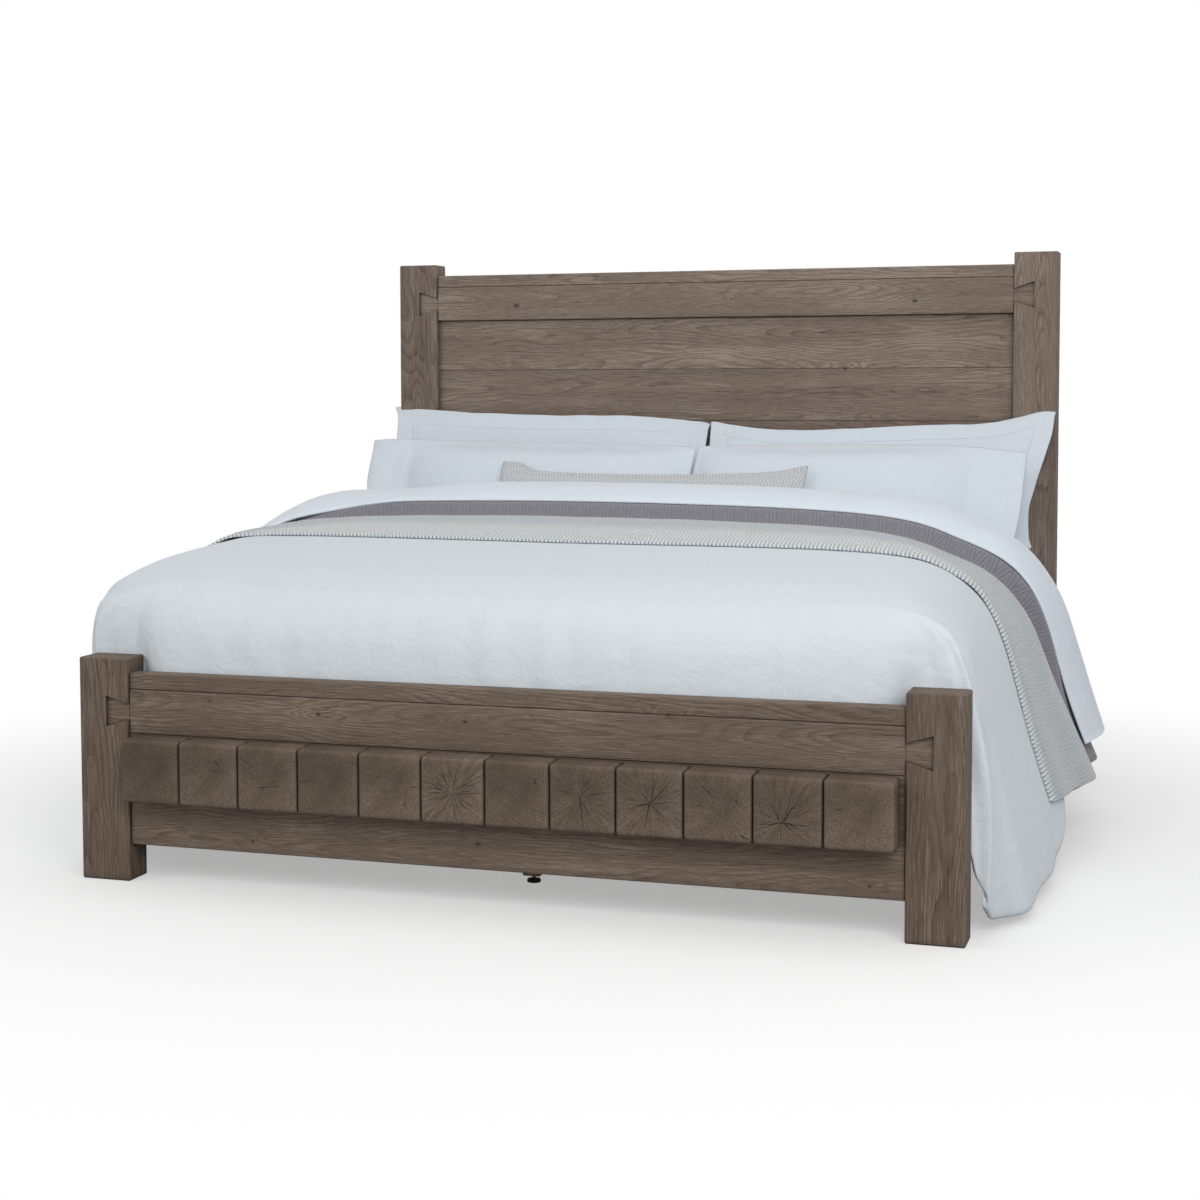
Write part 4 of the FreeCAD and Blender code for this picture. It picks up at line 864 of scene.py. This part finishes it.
def wool_path():
    """The blanket lies under the throw, rises on to its own turned-back part, and sinks again under the fold."""
    front, base = turndown_front(), turndown_base()
    rise = np.clip(front - 84.0, throw_back() - 14.0, 1236.0)
    top = np.maximum(front, rise + 64.0)
    turned = eased((front - rise) / 20.0)
    lift = (base - 3.2 - LAID) * turned * (1.0 - 0.8 * eased((down_the_drop() - 0.4) / 0.6))
    path = []
    for t in np.linspace(0, 1, 34):
        d = 870.0 + (rise - 870.0) * t
        path.append((d, LAID + 0.5 * ripple(CLOTH, d, 300.0, 32)))
    for t in np.linspace(0.12, 1, 9):
        path.append((rise + (top - rise) * t, LAID + lift * eased(t * 0.93 + 0.07)))
    for t in np.linspace(0.1, 1, 10):
        path.append((top + (1550.0 - top) * t, LAID + lift * (1 - eased(t * 1.1))))
    return path


def throw_path():
    """On the left side the throw hangs a little nearer the foot. Its front edge lies down on the duvet."""
    path = []
    first = 800.0 - 100.0 * eased((-SHARES - 0.52) / 0.22) + 2.5 * ripple(CLOTH, 0.0, 300.0, 41)
    last = throw_back()
    for t in np.linspace(0, 1, 48):
        d = first + (last - first) * t
        laid = LAID + 6.0 * eased((d - first) / 60.0)
        path.append((d, laid + 10.0 * eased(down_the_drop() / 0.3) * t
                     + 1.0 * ripple(CLOTH, d, 260.0, 43) * eased(t * 6)))
    return path


def turndown_loop():
    """The fold: its front edge, the swell up to its ridge, the way down behind it, and back underneath."""
    front, base, drop = turndown_front(), turndown_base(), down_the_drop()
    ridge = 1452.0 - (1320.0 - front) * 0.30
    back = np.full(ACROSS, 1632.0)
    crest = 96.0 - 8.0 * eased(drop / 0.3) - 33.0 * np.clip((drop - 0.3) / 0.7, 0, 1) ** 1.2
    crest = crest - np.where(SHARES < 0, 14.0 * eased((-SHARES - 0.34) / 0.14), 0.0)
    roll = 3.0 * ripple(CLOTH, 0.0, 420.0, 52)
    stations = [(front + 3.0, base), (front, base + 2.5), (front + 2.0, base + 6.0)]
    for t in np.linspace(0.06, 1.0, 14):
        share = math.sin(t * math.pi / 2) ** 0.85
        d = front + (ridge - front) * t
        stations.append((d, base + 6.0 + (crest - base - 6.0) * share + roll * t
                         + 1.3 * ripple(CLOTH, d, 150.0, 53, 2)))
    for step, dip in ((16.0, -3.0), (30.0, -1.0), (46.0, 2.5), (62.0, 1.0)):
        stations.append((ridge + step, crest + roll + dip))
    start = ridge + 62.0
    for t in (0.14, 0.28, 0.42, 0.56, 0.70, 0.83, 0.94, 1.0):
        stations.append((start + (back - start) * t, 6.0 + (crest + roll - 5.0) * math.cos(t * math.pi / 2) ** 0.8))
    for t in (0.97, 0.85, 0.7, 0.55, 0.4, 0.25, 0.12, 0.03):
        stations.append((front + (back - front) * t, 7.5 + (base - 7.5) * np.clip(1 - t, 0, 1) ** 0.6))
    return stations


# Pillows, in millimetres as if laid flat: across the bed from its middle, and up from the lower edge. Each has
# the height of its upper edge along the bed and the places of its two ends at shares of the height. border is
# the flat cloth beyond the filling at the left, right, lower and upper edges. A pillow leans back by lean degrees
# from lying flat, with its lower edge at a distance and a height.
SHAM = dict(border=(48, 48, 48, 48), flange=True, fullness=140, lean=68, at=(1958, 707))
FRONT_PILLOW = dict(flange=False, fullness=150, lean=60, at=(1762, 707))
PILLOWS = {
    "sham_back_left": dict(
        SHAM, seed=3, replaces="back_pillow_left",
        upper=((-1068, 448), (-1000, 442), (-922, 438), (-816, 430), (-642, 424), (-504, 421), (-368, 421),
               (-234, 417), (-102, 408), (-36, 400), (-7, 388)),
        left=((0, -1040), (0.4, -1048), (0.8, -1064), (0.93, -1074), (1, -1086)),
        right=((0, -16), (0.5, -10), (1, -3))),
    "sham_back_right": dict(
        SHAM, seed=8, replaces="back_pillow_right",
        upper=((8, 396), (94, 385), (174, 376), (286, 371), (381, 373), (506, 378), (690, 389), (796, 393),
               (871, 399), (961, 420), (1020, 436), (1064, 441)),
        left=((0, 18), (0.5, 8), (1, 4)),
        right=((0, 1012), (0.1, 1003), (0.25, 1001), (0.4, 1014), (0.55, 1030), (0.7, 1046), (0.85, 1060),
               (1, 1064))),
    "pillow_front_left": dict(
        FRONT_PILLOW, border=(152, 6, 6, 6), seed=15, replaces="front_pillow_left",
        upper=((-1088, 371), (-1014, 374), (-930, 374), (-754, 372), (-584, 370), (-317, 365), (-154, 361),
               (-25, 351), (-3, 340)),
        left=((0, -1050), (0.3, -1066), (0.6, -1088), (0.85, -1094), (1, -1100)),
        right=((0, -22), (0.5, 0), (1, 6))),
    "pillow_front_right": dict(
        FRONT_PILLOW, border=(6, 160, 6, 6), seed=21, replaces="front_pillow_right",
        upper=((6, 352), (60, 360), (227, 363), (382, 365), (534, 367), (714, 369), (820, 360), (900, 352),
               (1012, 332)),
        left=((0, 2), (0.5, -14), (1, -6)), right=((0, 985), (0.4, 1004), (1, 1012))),
    "pillow_lumbar": dict(
        border=(8, 8, 8, 8), flange=False, fullness=95, lean=60, at=(1622, 706), seed=27, replaces="lumbar_pillow",
        upper=((-593, 300), (-533, 300), (-500, 284), (-470, 271), (-390, 266), (-261, 262), (-103, 261), (53, 264),
               (207, 270), (283, 276), (343, 288), (391, 296)),
        left=((0, -590), (0.5, -584), (1, -593)), right=((0, 388), (0.5, 380), (1, 391))),
}


def on_pillow(spec, a, b):
    """The flat place at a share of the way across and a share of the way up."""
    a, b = np.ravel(a), np.ravel(b)
    left, right = (eased_between(*zip(*spec[side]), b) for side in ("left", "right"))
    x = left + (right - left) * a
    return x, b * eased_between(*zip(*spec["upper"]), x)


def pillow_size(spec):
    """Width and height as laid flat."""
    return spec["right"][-1][1] - spec["left"][-1][1], max(height for _, height in spec["upper"])


BAG_CELL = 17                   # millimetres between the bag's points


def pillow_bag(name, spec):
    """The closed bag: two sheets that share their edge, already a little full."""
    width, height = pillow_size(spec)
    outer = spec["border"] if spec["flange"] else (0, 0, 0, 0)
    columns, rows = int(width / BAG_CELL), int(height / BAG_CELL)
    a = np.linspace(outer[0] / width, 1 - outer[1] / width, columns + 1)
    b = np.linspace(outer[2] / height, 1 - outer[3] / height, rows + 1)
    a, b = (grid.ravel() for grid in np.meshgrid(a, b))
    x, y = on_pillow(spec, a, b)
    border = spec["border"]
    u = (a - border[0] / width) / (1 - (border[0] + border[1]) / width) * 2 - 1
    v = (b - border[2] / height) / (1 - (border[2] + border[3]) / height) * 2 - 1
    rise = 1.4 if spec["flange"] else 0.85
    full = np.clip(1 - np.abs(u) ** 4, 0, 1) ** rise * np.clip(1 - np.abs(v) ** 2.6, 0, 1) ** rise
    slack = np.clip((np.abs(u) - 0.97) * 12, 0, 1)
    crumple = 6.0 * slack * ripple(x * 1.6, y * 0.7, 210.0, spec["seed"])
    half = spec["fullness"] * 0.32 * full + 2.5 * slack
    front = np.column_stack([x, y, half + crumple])
    rear = np.column_stack([x, y, -half + crumple])
    index = np.arange(len(x))
    row, column = index // (columns + 1), index % (columns + 1)
    on_edge = (row == 0) | (row == rows) | (column == 0) | (column == columns)
    front[on_edge, 2] = crumple[on_edge]
    rear_number = np.where(on_edge, index, len(index) + np.cumsum(~on_edge) - 1)
    quads = grid_faces(rows + 1, columns + 1)
    faces = quads + [tuple(int(rear_number[i]) for i in quad[::-1]) for quad in quads]
    points = np.vstack([front, rear[~on_edge]])
    around = (list(range(columns + 1)) + [r * (columns + 1) + columns for r in range(1, rows + 1)]
              + [rows * (columns + 1) + c for c in range(columns - 1, -1, -1)]
              + [r * (columns + 1) for r in range(rows - 1, 0, -1)])
    piece = mesh_piece(name, points / 1000, faces, points[:, :2] / 1000)
    return piece, around, np.column_stack([a, b])[around], np.concatenate([full, full[~on_edge]])


def inflate(piece, frames, reach):
    """Air swells the bag, and the cloth's own stiffness draws its sides in. No point goes beyond its reach."""
    run_cloth(piece, frames, reach, quality=4, mass=0.3, tension_stiffness=20.0, compression_stiffness=8.0,
              shear_stiffness=8.0, bending_stiffness=0.2, air_damping=4.0, use_pressure=True,
              uniform_pressure_force=5.0)


def flange_band(spec, seam, shares):
    """The sham's flat border: a thin closed band that starts inside the seam and waves a little at its edge."""
    run = travelled(seam) * 1000
    wave = ripple(run, 0.0, 260.0, spec["seed"] + 9)
    blend = np.minimum(1.0, np.minimum(np.arange(len(run)), len(run) - np.arange(len(run))) / 8.0)
    wave = wave * blend
    centre = shares - 0.5
    edge = 0.5 + centre / (2 * np.abs(centre).max(axis=1))[:, None]
    x, y = on_pillow(spec, edge[:, 0], edge[:, 1])
    cornered = np.clip(np.abs(edge - 0.5).min(axis=1) * 2 - 0.9, 0, 0.1)[:, None] * np.sign(edge - 0.5)
    outline = np.column_stack([x / 1000, y / 1000, 0.010 * wave])
    outline[:, :2] += 0.06 * cornered
    middle = seam.mean(axis=0)
    rings = []
    for t, half in ((-0.12, 0.0008), (0.06, 0.0016), (0.4, 0.0016), (0.75, 0.0016), (1.0, 0.0012)):
        ring = seam + (outline - seam) * t if t > 0 else seam + (middle - seam) * np.array([0.01, 0.03, 0.0])
        rings.append((ring, half))
    loop = rings + [(ring, -half) for ring, half in rings[::-1]]
    points = np.vstack([ring + np.array([0, 0, half]) for ring, half in loop])
    faces = grid_faces(len(loop), len(seam), closed_rows=True, closed_columns=True)
    return points, faces


def bed_pillow(name, spec):
    """Makes the pillow flat, fills it, sews on its flange, bows it a little, and leans it back in its place."""
    piece, around, shares, full = pillow_bag(name, spec)
    inflate(piece, 20, 0.004 + 0.026 * full)
    points = coordinates(piece)
    depth = points[:, 2].max() - points[:, 2].min()
    points[:, 2] *= spec["fullness"] / 1000 / depth
    if spec["flange"]:
        band, band_faces = flange_band(spec, points[around], shares)
        faces = [tuple(f.vertices) for f in piece.data.polygons]
        faces += [tuple(i + len(points) for i in face) for face in band_faces]
        points = np.vstack([points, band])
        bpy.data.objects.remove(piece)
        piece = mesh_piece(name, points, faces, points[:, :2])
        seam = piece.data.attributes.new("crease_edge", "FLOAT", "EDGE")
        stitched = set(around)
        seam.data.foreach_set("value", [float(set(e.vertices) <= stitched) for e in piece.data.edges])
    share = np.clip(points[:, 1] / (pillow_size(spec)[1] / 1000), 0, 1)
    points[:, 2] += 0.010 * np.sin(math.pi * share) - 0.012 * share ** 2
    lean = math.radians(spec["lean"])
    distance, height = spec["at"]
    leant = np.column_stack([points[:, 0], points[:, 1] * math.cos(lean) - points[:, 2] * math.sin(lean),
                             points[:, 1] * math.sin(lean) + points[:, 2] * math.cos(lean)])
    set_coordinates(piece, leant + place([(0.0, distance, height)])[0])
    smooth_out(piece)
    return piece


# Mattress and box spring, which have the same plan
PLAN_LOW, PLAN_HIGH, PLAN_CORNER = (-0.965, -0.985), (0.965, 1.047), 0.075


def upholstered_block(name, bottom, top, edge, seed):
    """A block with rounded corners and edges, and sides that are a little uneven."""
    lower, upper = np.array([*PLAN_LOW, bottom]), np.array([*PLAN_HIGH, top])
    middle = (lower + upper) / 2
    half = (upper - lower) / 2
    outline = []
    for turn, (sx, sy) in enumerate(((1, 1), (-1, 1), (-1, -1), (1, -1))):
        for step in range(9):
            a = math.radians(90 * (turn + step / 8))
            outline.append((sx * (half[0] - PLAN_CORNER), sy * (half[1] - PLAN_CORNER), math.cos(a), math.sin(a)))
    ring = []
    for i, (cx, cy, dx, dy) in enumerate(outline):
        next_x, next_y = outline[(i + 1) % len(outline)][:2]
        ring.append((cx, cy, dx, dy))
        if (next_x, next_y) != (cx, cy):
            for t in np.linspace(0, 1, 25)[1:-1]:
                ring.append((cx + (next_x - cx) * t, cy + (next_y - cy) * t, dx, dy))
    levels = []
    for step in range(7):
        a = math.radians(90 * step / 6)
        levels.append((-half[2] + edge * (1 - math.cos(a)), edge * (1 - math.sin(a))))
    levels += [(z, 0.0) for z in np.linspace(-half[2] + edge, half[2] - edge, 7)[1:-1]]
    levels += [(-z, inset) for z, inset in reversed(levels[:7])]
    points, uv = [], []
    for z, inset in levels:
        for k, (cx, cy, dx, dy) in enumerate(ring):
            reach = PLAN_CORNER - inset
            points.append((cx + dx * reach, cy + dy * reach, z))
            uv.append((k * 0.03, z))
    points = np.array(points) + middle
    soft = 0.0025 * ripple(points[:, 0] * 1000 + points[:, 1] * 700, points[:, 2] * 1000, 170.0, seed)
    points[:, :2] += (points[:, :2] - middle[:2]) / np.maximum(np.linalg.norm(points[:, :2] - middle[:2], axis=1),
                                                             1e-6)[:, None] * (soft[:, None] - 0.003)
    faces = grid_faces(len(levels), len(ring), closed_columns=True)
    faces.append(tuple(range(len(ring) - 1, -1, -1)))
    faces.append(tuple((len(levels) - 1) * len(ring) + k for k in range(len(ring))))
    return mesh_piece(name, points, faces, uv)


# Wood, steel and nylon
SAWN_EDGE, BLOCK_EDGE = 0.0009, 0.0030

def numbered(stem, count):
    """The names of a row of like nodes."""
    return ["%s_%d" % (stem, i) for i in range(1, count + 1)]


def finish_frame(materials):
    """Gives every node of wood, steel and nylon its material."""
    made_of = {
        "head_post": ["headboard_post_left"],
        "lit_head_post_right": ["headboard_post_right"],
        "head_rail": ["headboard_dovetail_rail", "headboard_cap", "headboard_bottom_rail"]
        + numbered("headboard_plank", 5),
        "foot_post": ["footboard_post_left", "footboard_post_right"],
        "foot_rail": ["footboard_dovetail_rail", "footboard_cap", "footboard_bottom_rail", "footboard_backer_board"],
        "side": ["side_rail_left", "side_rail_right"],
        "pine_slat": numbered("slat", 4),
        "pine_ledger": ["slat_ledger_left", "slat_ledger_right"],
        "pine_upright": numbered("support_leg", 4) + ["headboard_back_batten"],
        "steel": ["slat_screws", "rail_hook_plates", "post_slot_plates"],
        "nylon": numbered("levelling_glide", 4),
    }
    for key, names in made_of.items():
        for name in names:
            dress(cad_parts[name], materials[key])
    for number in range(1, 13):
        dress(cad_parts["footboard_block_%02d" % number], materials["block_%02d" % number], BLOCK_EDGE)


def dress(node, material, bevel=SAWN_EDGE):
    """The material, and edges eased as sandpaper leaves them."""
    node.data.materials.clear()
    node.data.materials.append(material)
    modify(node, "weld", "WELD", merge_threshold=0.00002)
    modify(node, "ease", "BEVEL", width=bevel, segments=2, limit_method="ANGLE", angle_limit=math.radians(25),
           harden_normals=False)


BLOCK_FIGURES = (
    # heart (x, z), ray strength, checks, all in millimetres from the block's middle
    ((20, -60), 0.15, ()),
    ((60, 50), 0.25, ((22, 34, 30, 22, 1.5), (-58, -46, -48, -52, 1.2), (10, 14, 52, 10, 0.7))),
    ((10, -20), 0.25, ((-66, 50, -34, 26, 1.3), (-40, 0, -6, 4, 0.9), (-18, -20, 28, -14, 1.3))),
    ((-70, 0), 0.2, ((-76, 2, -40, 4, 1.2), (60, 56, 72, 50, 1.0))),
    ((80, -10), 0.2, ((-30, 22, 2, 24, 0.8), (52, 2, 76, 4, 1.0), (38, -40, 44, -10, 0.9))),
    ((0, -4), 1.0, ()),
    ((30, 60), 0.2, ((44, 40, 52, 24, 1.2), (60, -34, 70, -40, 0.9))),
    ((-4, 6), 0.75, ((-2, 4, 2, -64, 1.5), (-4, 6, 30, 40, 0.8))),
    ((4, 0), 0.7, ((6, 2, 44, 44, 1.6), (2, 2, -36, 40, 1.4), (0, 0, -48, -16, 1.4), (4, -2, 40, -34, 1.5),
                   (2, -2, -8, -54, 1.2), (6, 4, 14, 58, 1.1), (10, 0, 60, 6, 1.0))),
    ((10, -30), 0.45, ((-30, 46, 0, 14, 1.4), (40, 18, 54, 2, 1.6), (54, -58, 70, -66, 1.8), (-44, 4, -20, -6, 0.9))),
    ((-16, -24), 0.8, ((-14, -22, -40, 20, 1.0), (-8, -20, 34, 40, 1.4), (-12, -24, 46, -30, 1.5),
                       (-4, -26, 36, -58, 1.3), (-20, -26, -66, -34, 1.6), (-2, -18, 10, 50, 0.9))),
    ((40, 20), 0.15, ((-52, 10, -20, 14, 0.7),)),
)


def all_materials():
    """Every finish of the bed, under the name of what it goes on."""
    made = {
        "head_post": limed_oak("limed_oak_head_post", "Z", "#3d3129", "#6f6055", "#8d7f73"),
        # painted light: a lighter copy of the head post's oak for the right post, where the light falls more strongly
        "lit_head_post_right": limed_oak("limed_oak_lit_head_post_right", "Z", "#433730", "#7a6a5e", "#998b7f"),
        "foot_post": limed_oak("limed_oak_foot_post", "Z", "#36291f", "#5f5043", "#7e6e60"),
        "foot_rail": limed_oak("limed_oak_foot_rail", "X", "#3c2f26", "#695a4d", "#89796b", KNOTS_ALONG),
        "head_rail": limed_oak("limed_oak_head_rail", "X", "#453830", "#7b6c60", "#9a8c80", KNOTS_ALONG),
        "side": limed_oak("limed_oak_side_rail", "Y", "#3c3129", "#695b50", "#877a6e"),
        "pine_slat": sawn_pine("sawn_pine_slat", (0.08, 1.0, 1.0)),
        "pine_ledger": sawn_pine("sawn_pine_ledger", (1.0, 0.08, 1.0)),
        "pine_upright": sawn_pine("sawn_pine_upright", (1.0, 1.0, 0.08)),
        "steel": zinc_steel(), "nylon": moulded_nylon(),
        "duvet": washed_cotton("washed_cotton_duvet", "#d8e0e6", "#ced7de"),
        # the turned-down end: a bluer tone for the cover's inner side, and lighter than the duvet's cotton as painted
        # light on the fold
        "underside": washed_cotton("washed_cotton_underside", "#dfe8f0", "#d5dee7"),
        "sham": washed_cotton("washed_cotton_pillowcase", "#d8e0e8", "#ccd5de"),
        "sheet": washed_cotton("washed_cotton_sheet", "#dfe3e7", "#d3d8de"),
        "foundation": washed_cotton("woven_foundation_cover", "#cfccc6", "#bfbcb6"),
        "knit": chevron_knit("chevron_knit_throw", "#e8ebe9", "#9ea6ab", "#b1b8bc", 0.0105, 0.055, 0.095, 0.26),
        "lumbar": chevron_knit("chevron_knit_lumbar", "#dcdee1", "#b3b6ba", "#c8cacd", 0.010, 0.017, 0.6, 9.0),
        "wool": fulled_wool(),
    }
    for number, figure in enumerate(BLOCK_FIGURES, 1):
        made["block_%02d" % number] = oak_end_grain(number, *figure)
    return made


# Room: floor, backdrop, light and camera

def studio():
    """A white floor and backdrop, and three soft lamps that show colours about as they are written."""
    floor = mesh_piece("studio_floor", [(-30, -30, 0), (30, -30, 0), (30, 30, 0), (-30, 30, 0)], [(0, 1, 2, 3)],
                       smooth=False)
    floor.location.z = -0.0005
    material, tree, shader, coords = new_material("pale_floor", 0.9, Specular_IOR_Level=0.1)
    path = add(tree, "LightPath")
    # the camera sees a white floor, which gives back less light to the bed than a white one would
    tint = add(tree, "MixRGB", {"Fac": path.outputs["Is Camera Ray"], "Color1": linear("#b8b8b8"),
                                "Color2": linear("#ffffff")})
    feed(tree, shader, {"Base Color": tint})
    # it lightens the shadow, and far from the bed it goes over into the white of the backdrop
    away = add(tree, "VectorMath.LENGTH", {0: coords})
    fade = add(tree, "MapRange", {"Value": away.outputs["Value"], "From Min": 1.2, "From Max": 3.0, "To Min": 0.4},
               interpolation_type="SMOOTHSTEP")
    seen = add(tree, "Math.MULTIPLY", {0: fade, 1: path.outputs["Is Camera Ray"]})
    white = add(tree, "Emission", {"Color": (1, 1, 1, 1), "Strength": 1.0})
    mixed = add(tree, "MixShader", {0: seen, 1: shader, 2: white})
    feed(tree, tree.nodes["Material Output"], {"Surface": mixed})
    floor.data.materials.append(material)

    world = bpy.data.worlds.new("studio")
    bpy.context.scene.world = world
    world.use_nodes = True
    tree = world.node_tree
    background = tree.nodes["Background"]
    path = add(tree, "LightPath")
    seen = add(tree, "Math.MAXIMUM", {0: path.outputs["Is Camera Ray"], 1: path.outputs["Is Glossy Ray"]})
    strength = add(tree, "MapRange", {"Value": seen, "To Min": 0.46, "To Max": 1.0})
    feed(tree, background, {"Color": (1, 1, 1, 1), "Strength": strength})

    for name, at, size, power in (("key", (2.7, -5.2, 3.4), 3.0, 158.0), ("fill", (-3.4, -4.2, 3.0), 3.0, 38.0),
                                  ("top", (0.6, 0.2, 4.2), 3.2, 24.0)):
        lamp = put(name, set_up(bpy.data.lights.new(name, "AREA"), size=size, energy=power))
        lamp.location = at
        aim = Vector((0.0, 0.4, 0.8)) - Vector(at)
        lamp.rotation_euler = aim.to_track_quat("-Z", "Y").to_euler()


def photo_camera():
    """The camera at the photo's viewing angle, solved from the straight edges of the posts, rails and blocks."""
    yaw, pitch, roll = -0.33365, -0.067272, -0.0050112
    ahead = Vector((math.sin(yaw) * math.cos(pitch), math.cos(yaw) * math.cos(pitch), math.sin(pitch)))
    right = Vector((math.cos(yaw), -math.sin(yaw), 0.0))
    up = right.cross(ahead)
    x_axis = right * math.cos(roll) + up * math.sin(roll)
    y_axis = up * math.cos(roll) - right * math.sin(roll)
    camera = put("camera", set_up(bpy.data.cameras.new("camera"), sensor_width=36.0, lens=64.94, shift_x=0.0833,
                                  shift_y=-0.0667))
    turn = Matrix((x_axis, y_axis, -ahead)).transposed().to_4x4()
    camera.matrix_world = Matrix.Translation(place([CAMERA_AT])[0]) @ turn
    bpy.context.scene.camera = camera
    bpy.context.scene.view_settings.view_transform = "Standard"


# The whole bed

materials = all_materials()
finish_frame(materials)

mattress = upholstered_block("mattress_in_sheet", 0.436, 0.690, 0.050, 61)
finish_soft(mattress, "mattress_sheet", materials["sheet"], "mattress")
foundation = upholstered_block("covered_foundation", 0.204, 0.434, 0.012, 62)
finish_soft(foundation, "foundation_cloth", materials["foundation"], "box_spring")

duvet = duvet_mesh()
filling = filling_under(duvet, 0.008)
rest = coordinates(duvet)
distance = rest[:, 1] * 1000 - FOOT_FACE
limit = 0.022 * np.clip((830.0 - distance) / 120.0, 0.0, 1.0) * eased((from_corners(rest) - 60.0) / 160.0)
settle(duvet, 30, limit, 0.02, [filling])
bpy.data.objects.remove(filling)
ease_corners(duvet)
thicken(duvet, 0.016)
finish_soft(duvet, "duvet_cotton", materials["duvet"], "duvet")

surface = BedSurface(660.0, 1660.0)
blanket = layer_piece("wool_blanket_strip", surface, cloth_loop(wool_path(), 4.5), lambda d: 190.0 - (d - 800) * 0.035)
finish_soft(blanket, "blanket_wool", materials["wool"], "wool_blanket")
throw = layer_piece("knitted_throw", surface, cloth_loop(throw_path(), 6.5, 2.5), lambda d: 170.0 - (d - 800) * 0.04)
finish_soft(throw, "throw_knit", materials["knit"], "knit_throw")
turndown = layer_piece("turned_down_end", surface, turndown_loop(), lambda d: 222.0)
finish_soft(turndown, "duvet_cotton", materials["underside"], "duvet_turndown")

for name, spec in PILLOWS.items():
    slot, cover = ("lumbar_weave", "lumbar") if name == "pillow_lumbar" else ("sham_cotton", "sham")
    finish_soft(bed_pillow(name, spec), slot, materials[cover], spec["replaces"])

studio()
photo_camera()
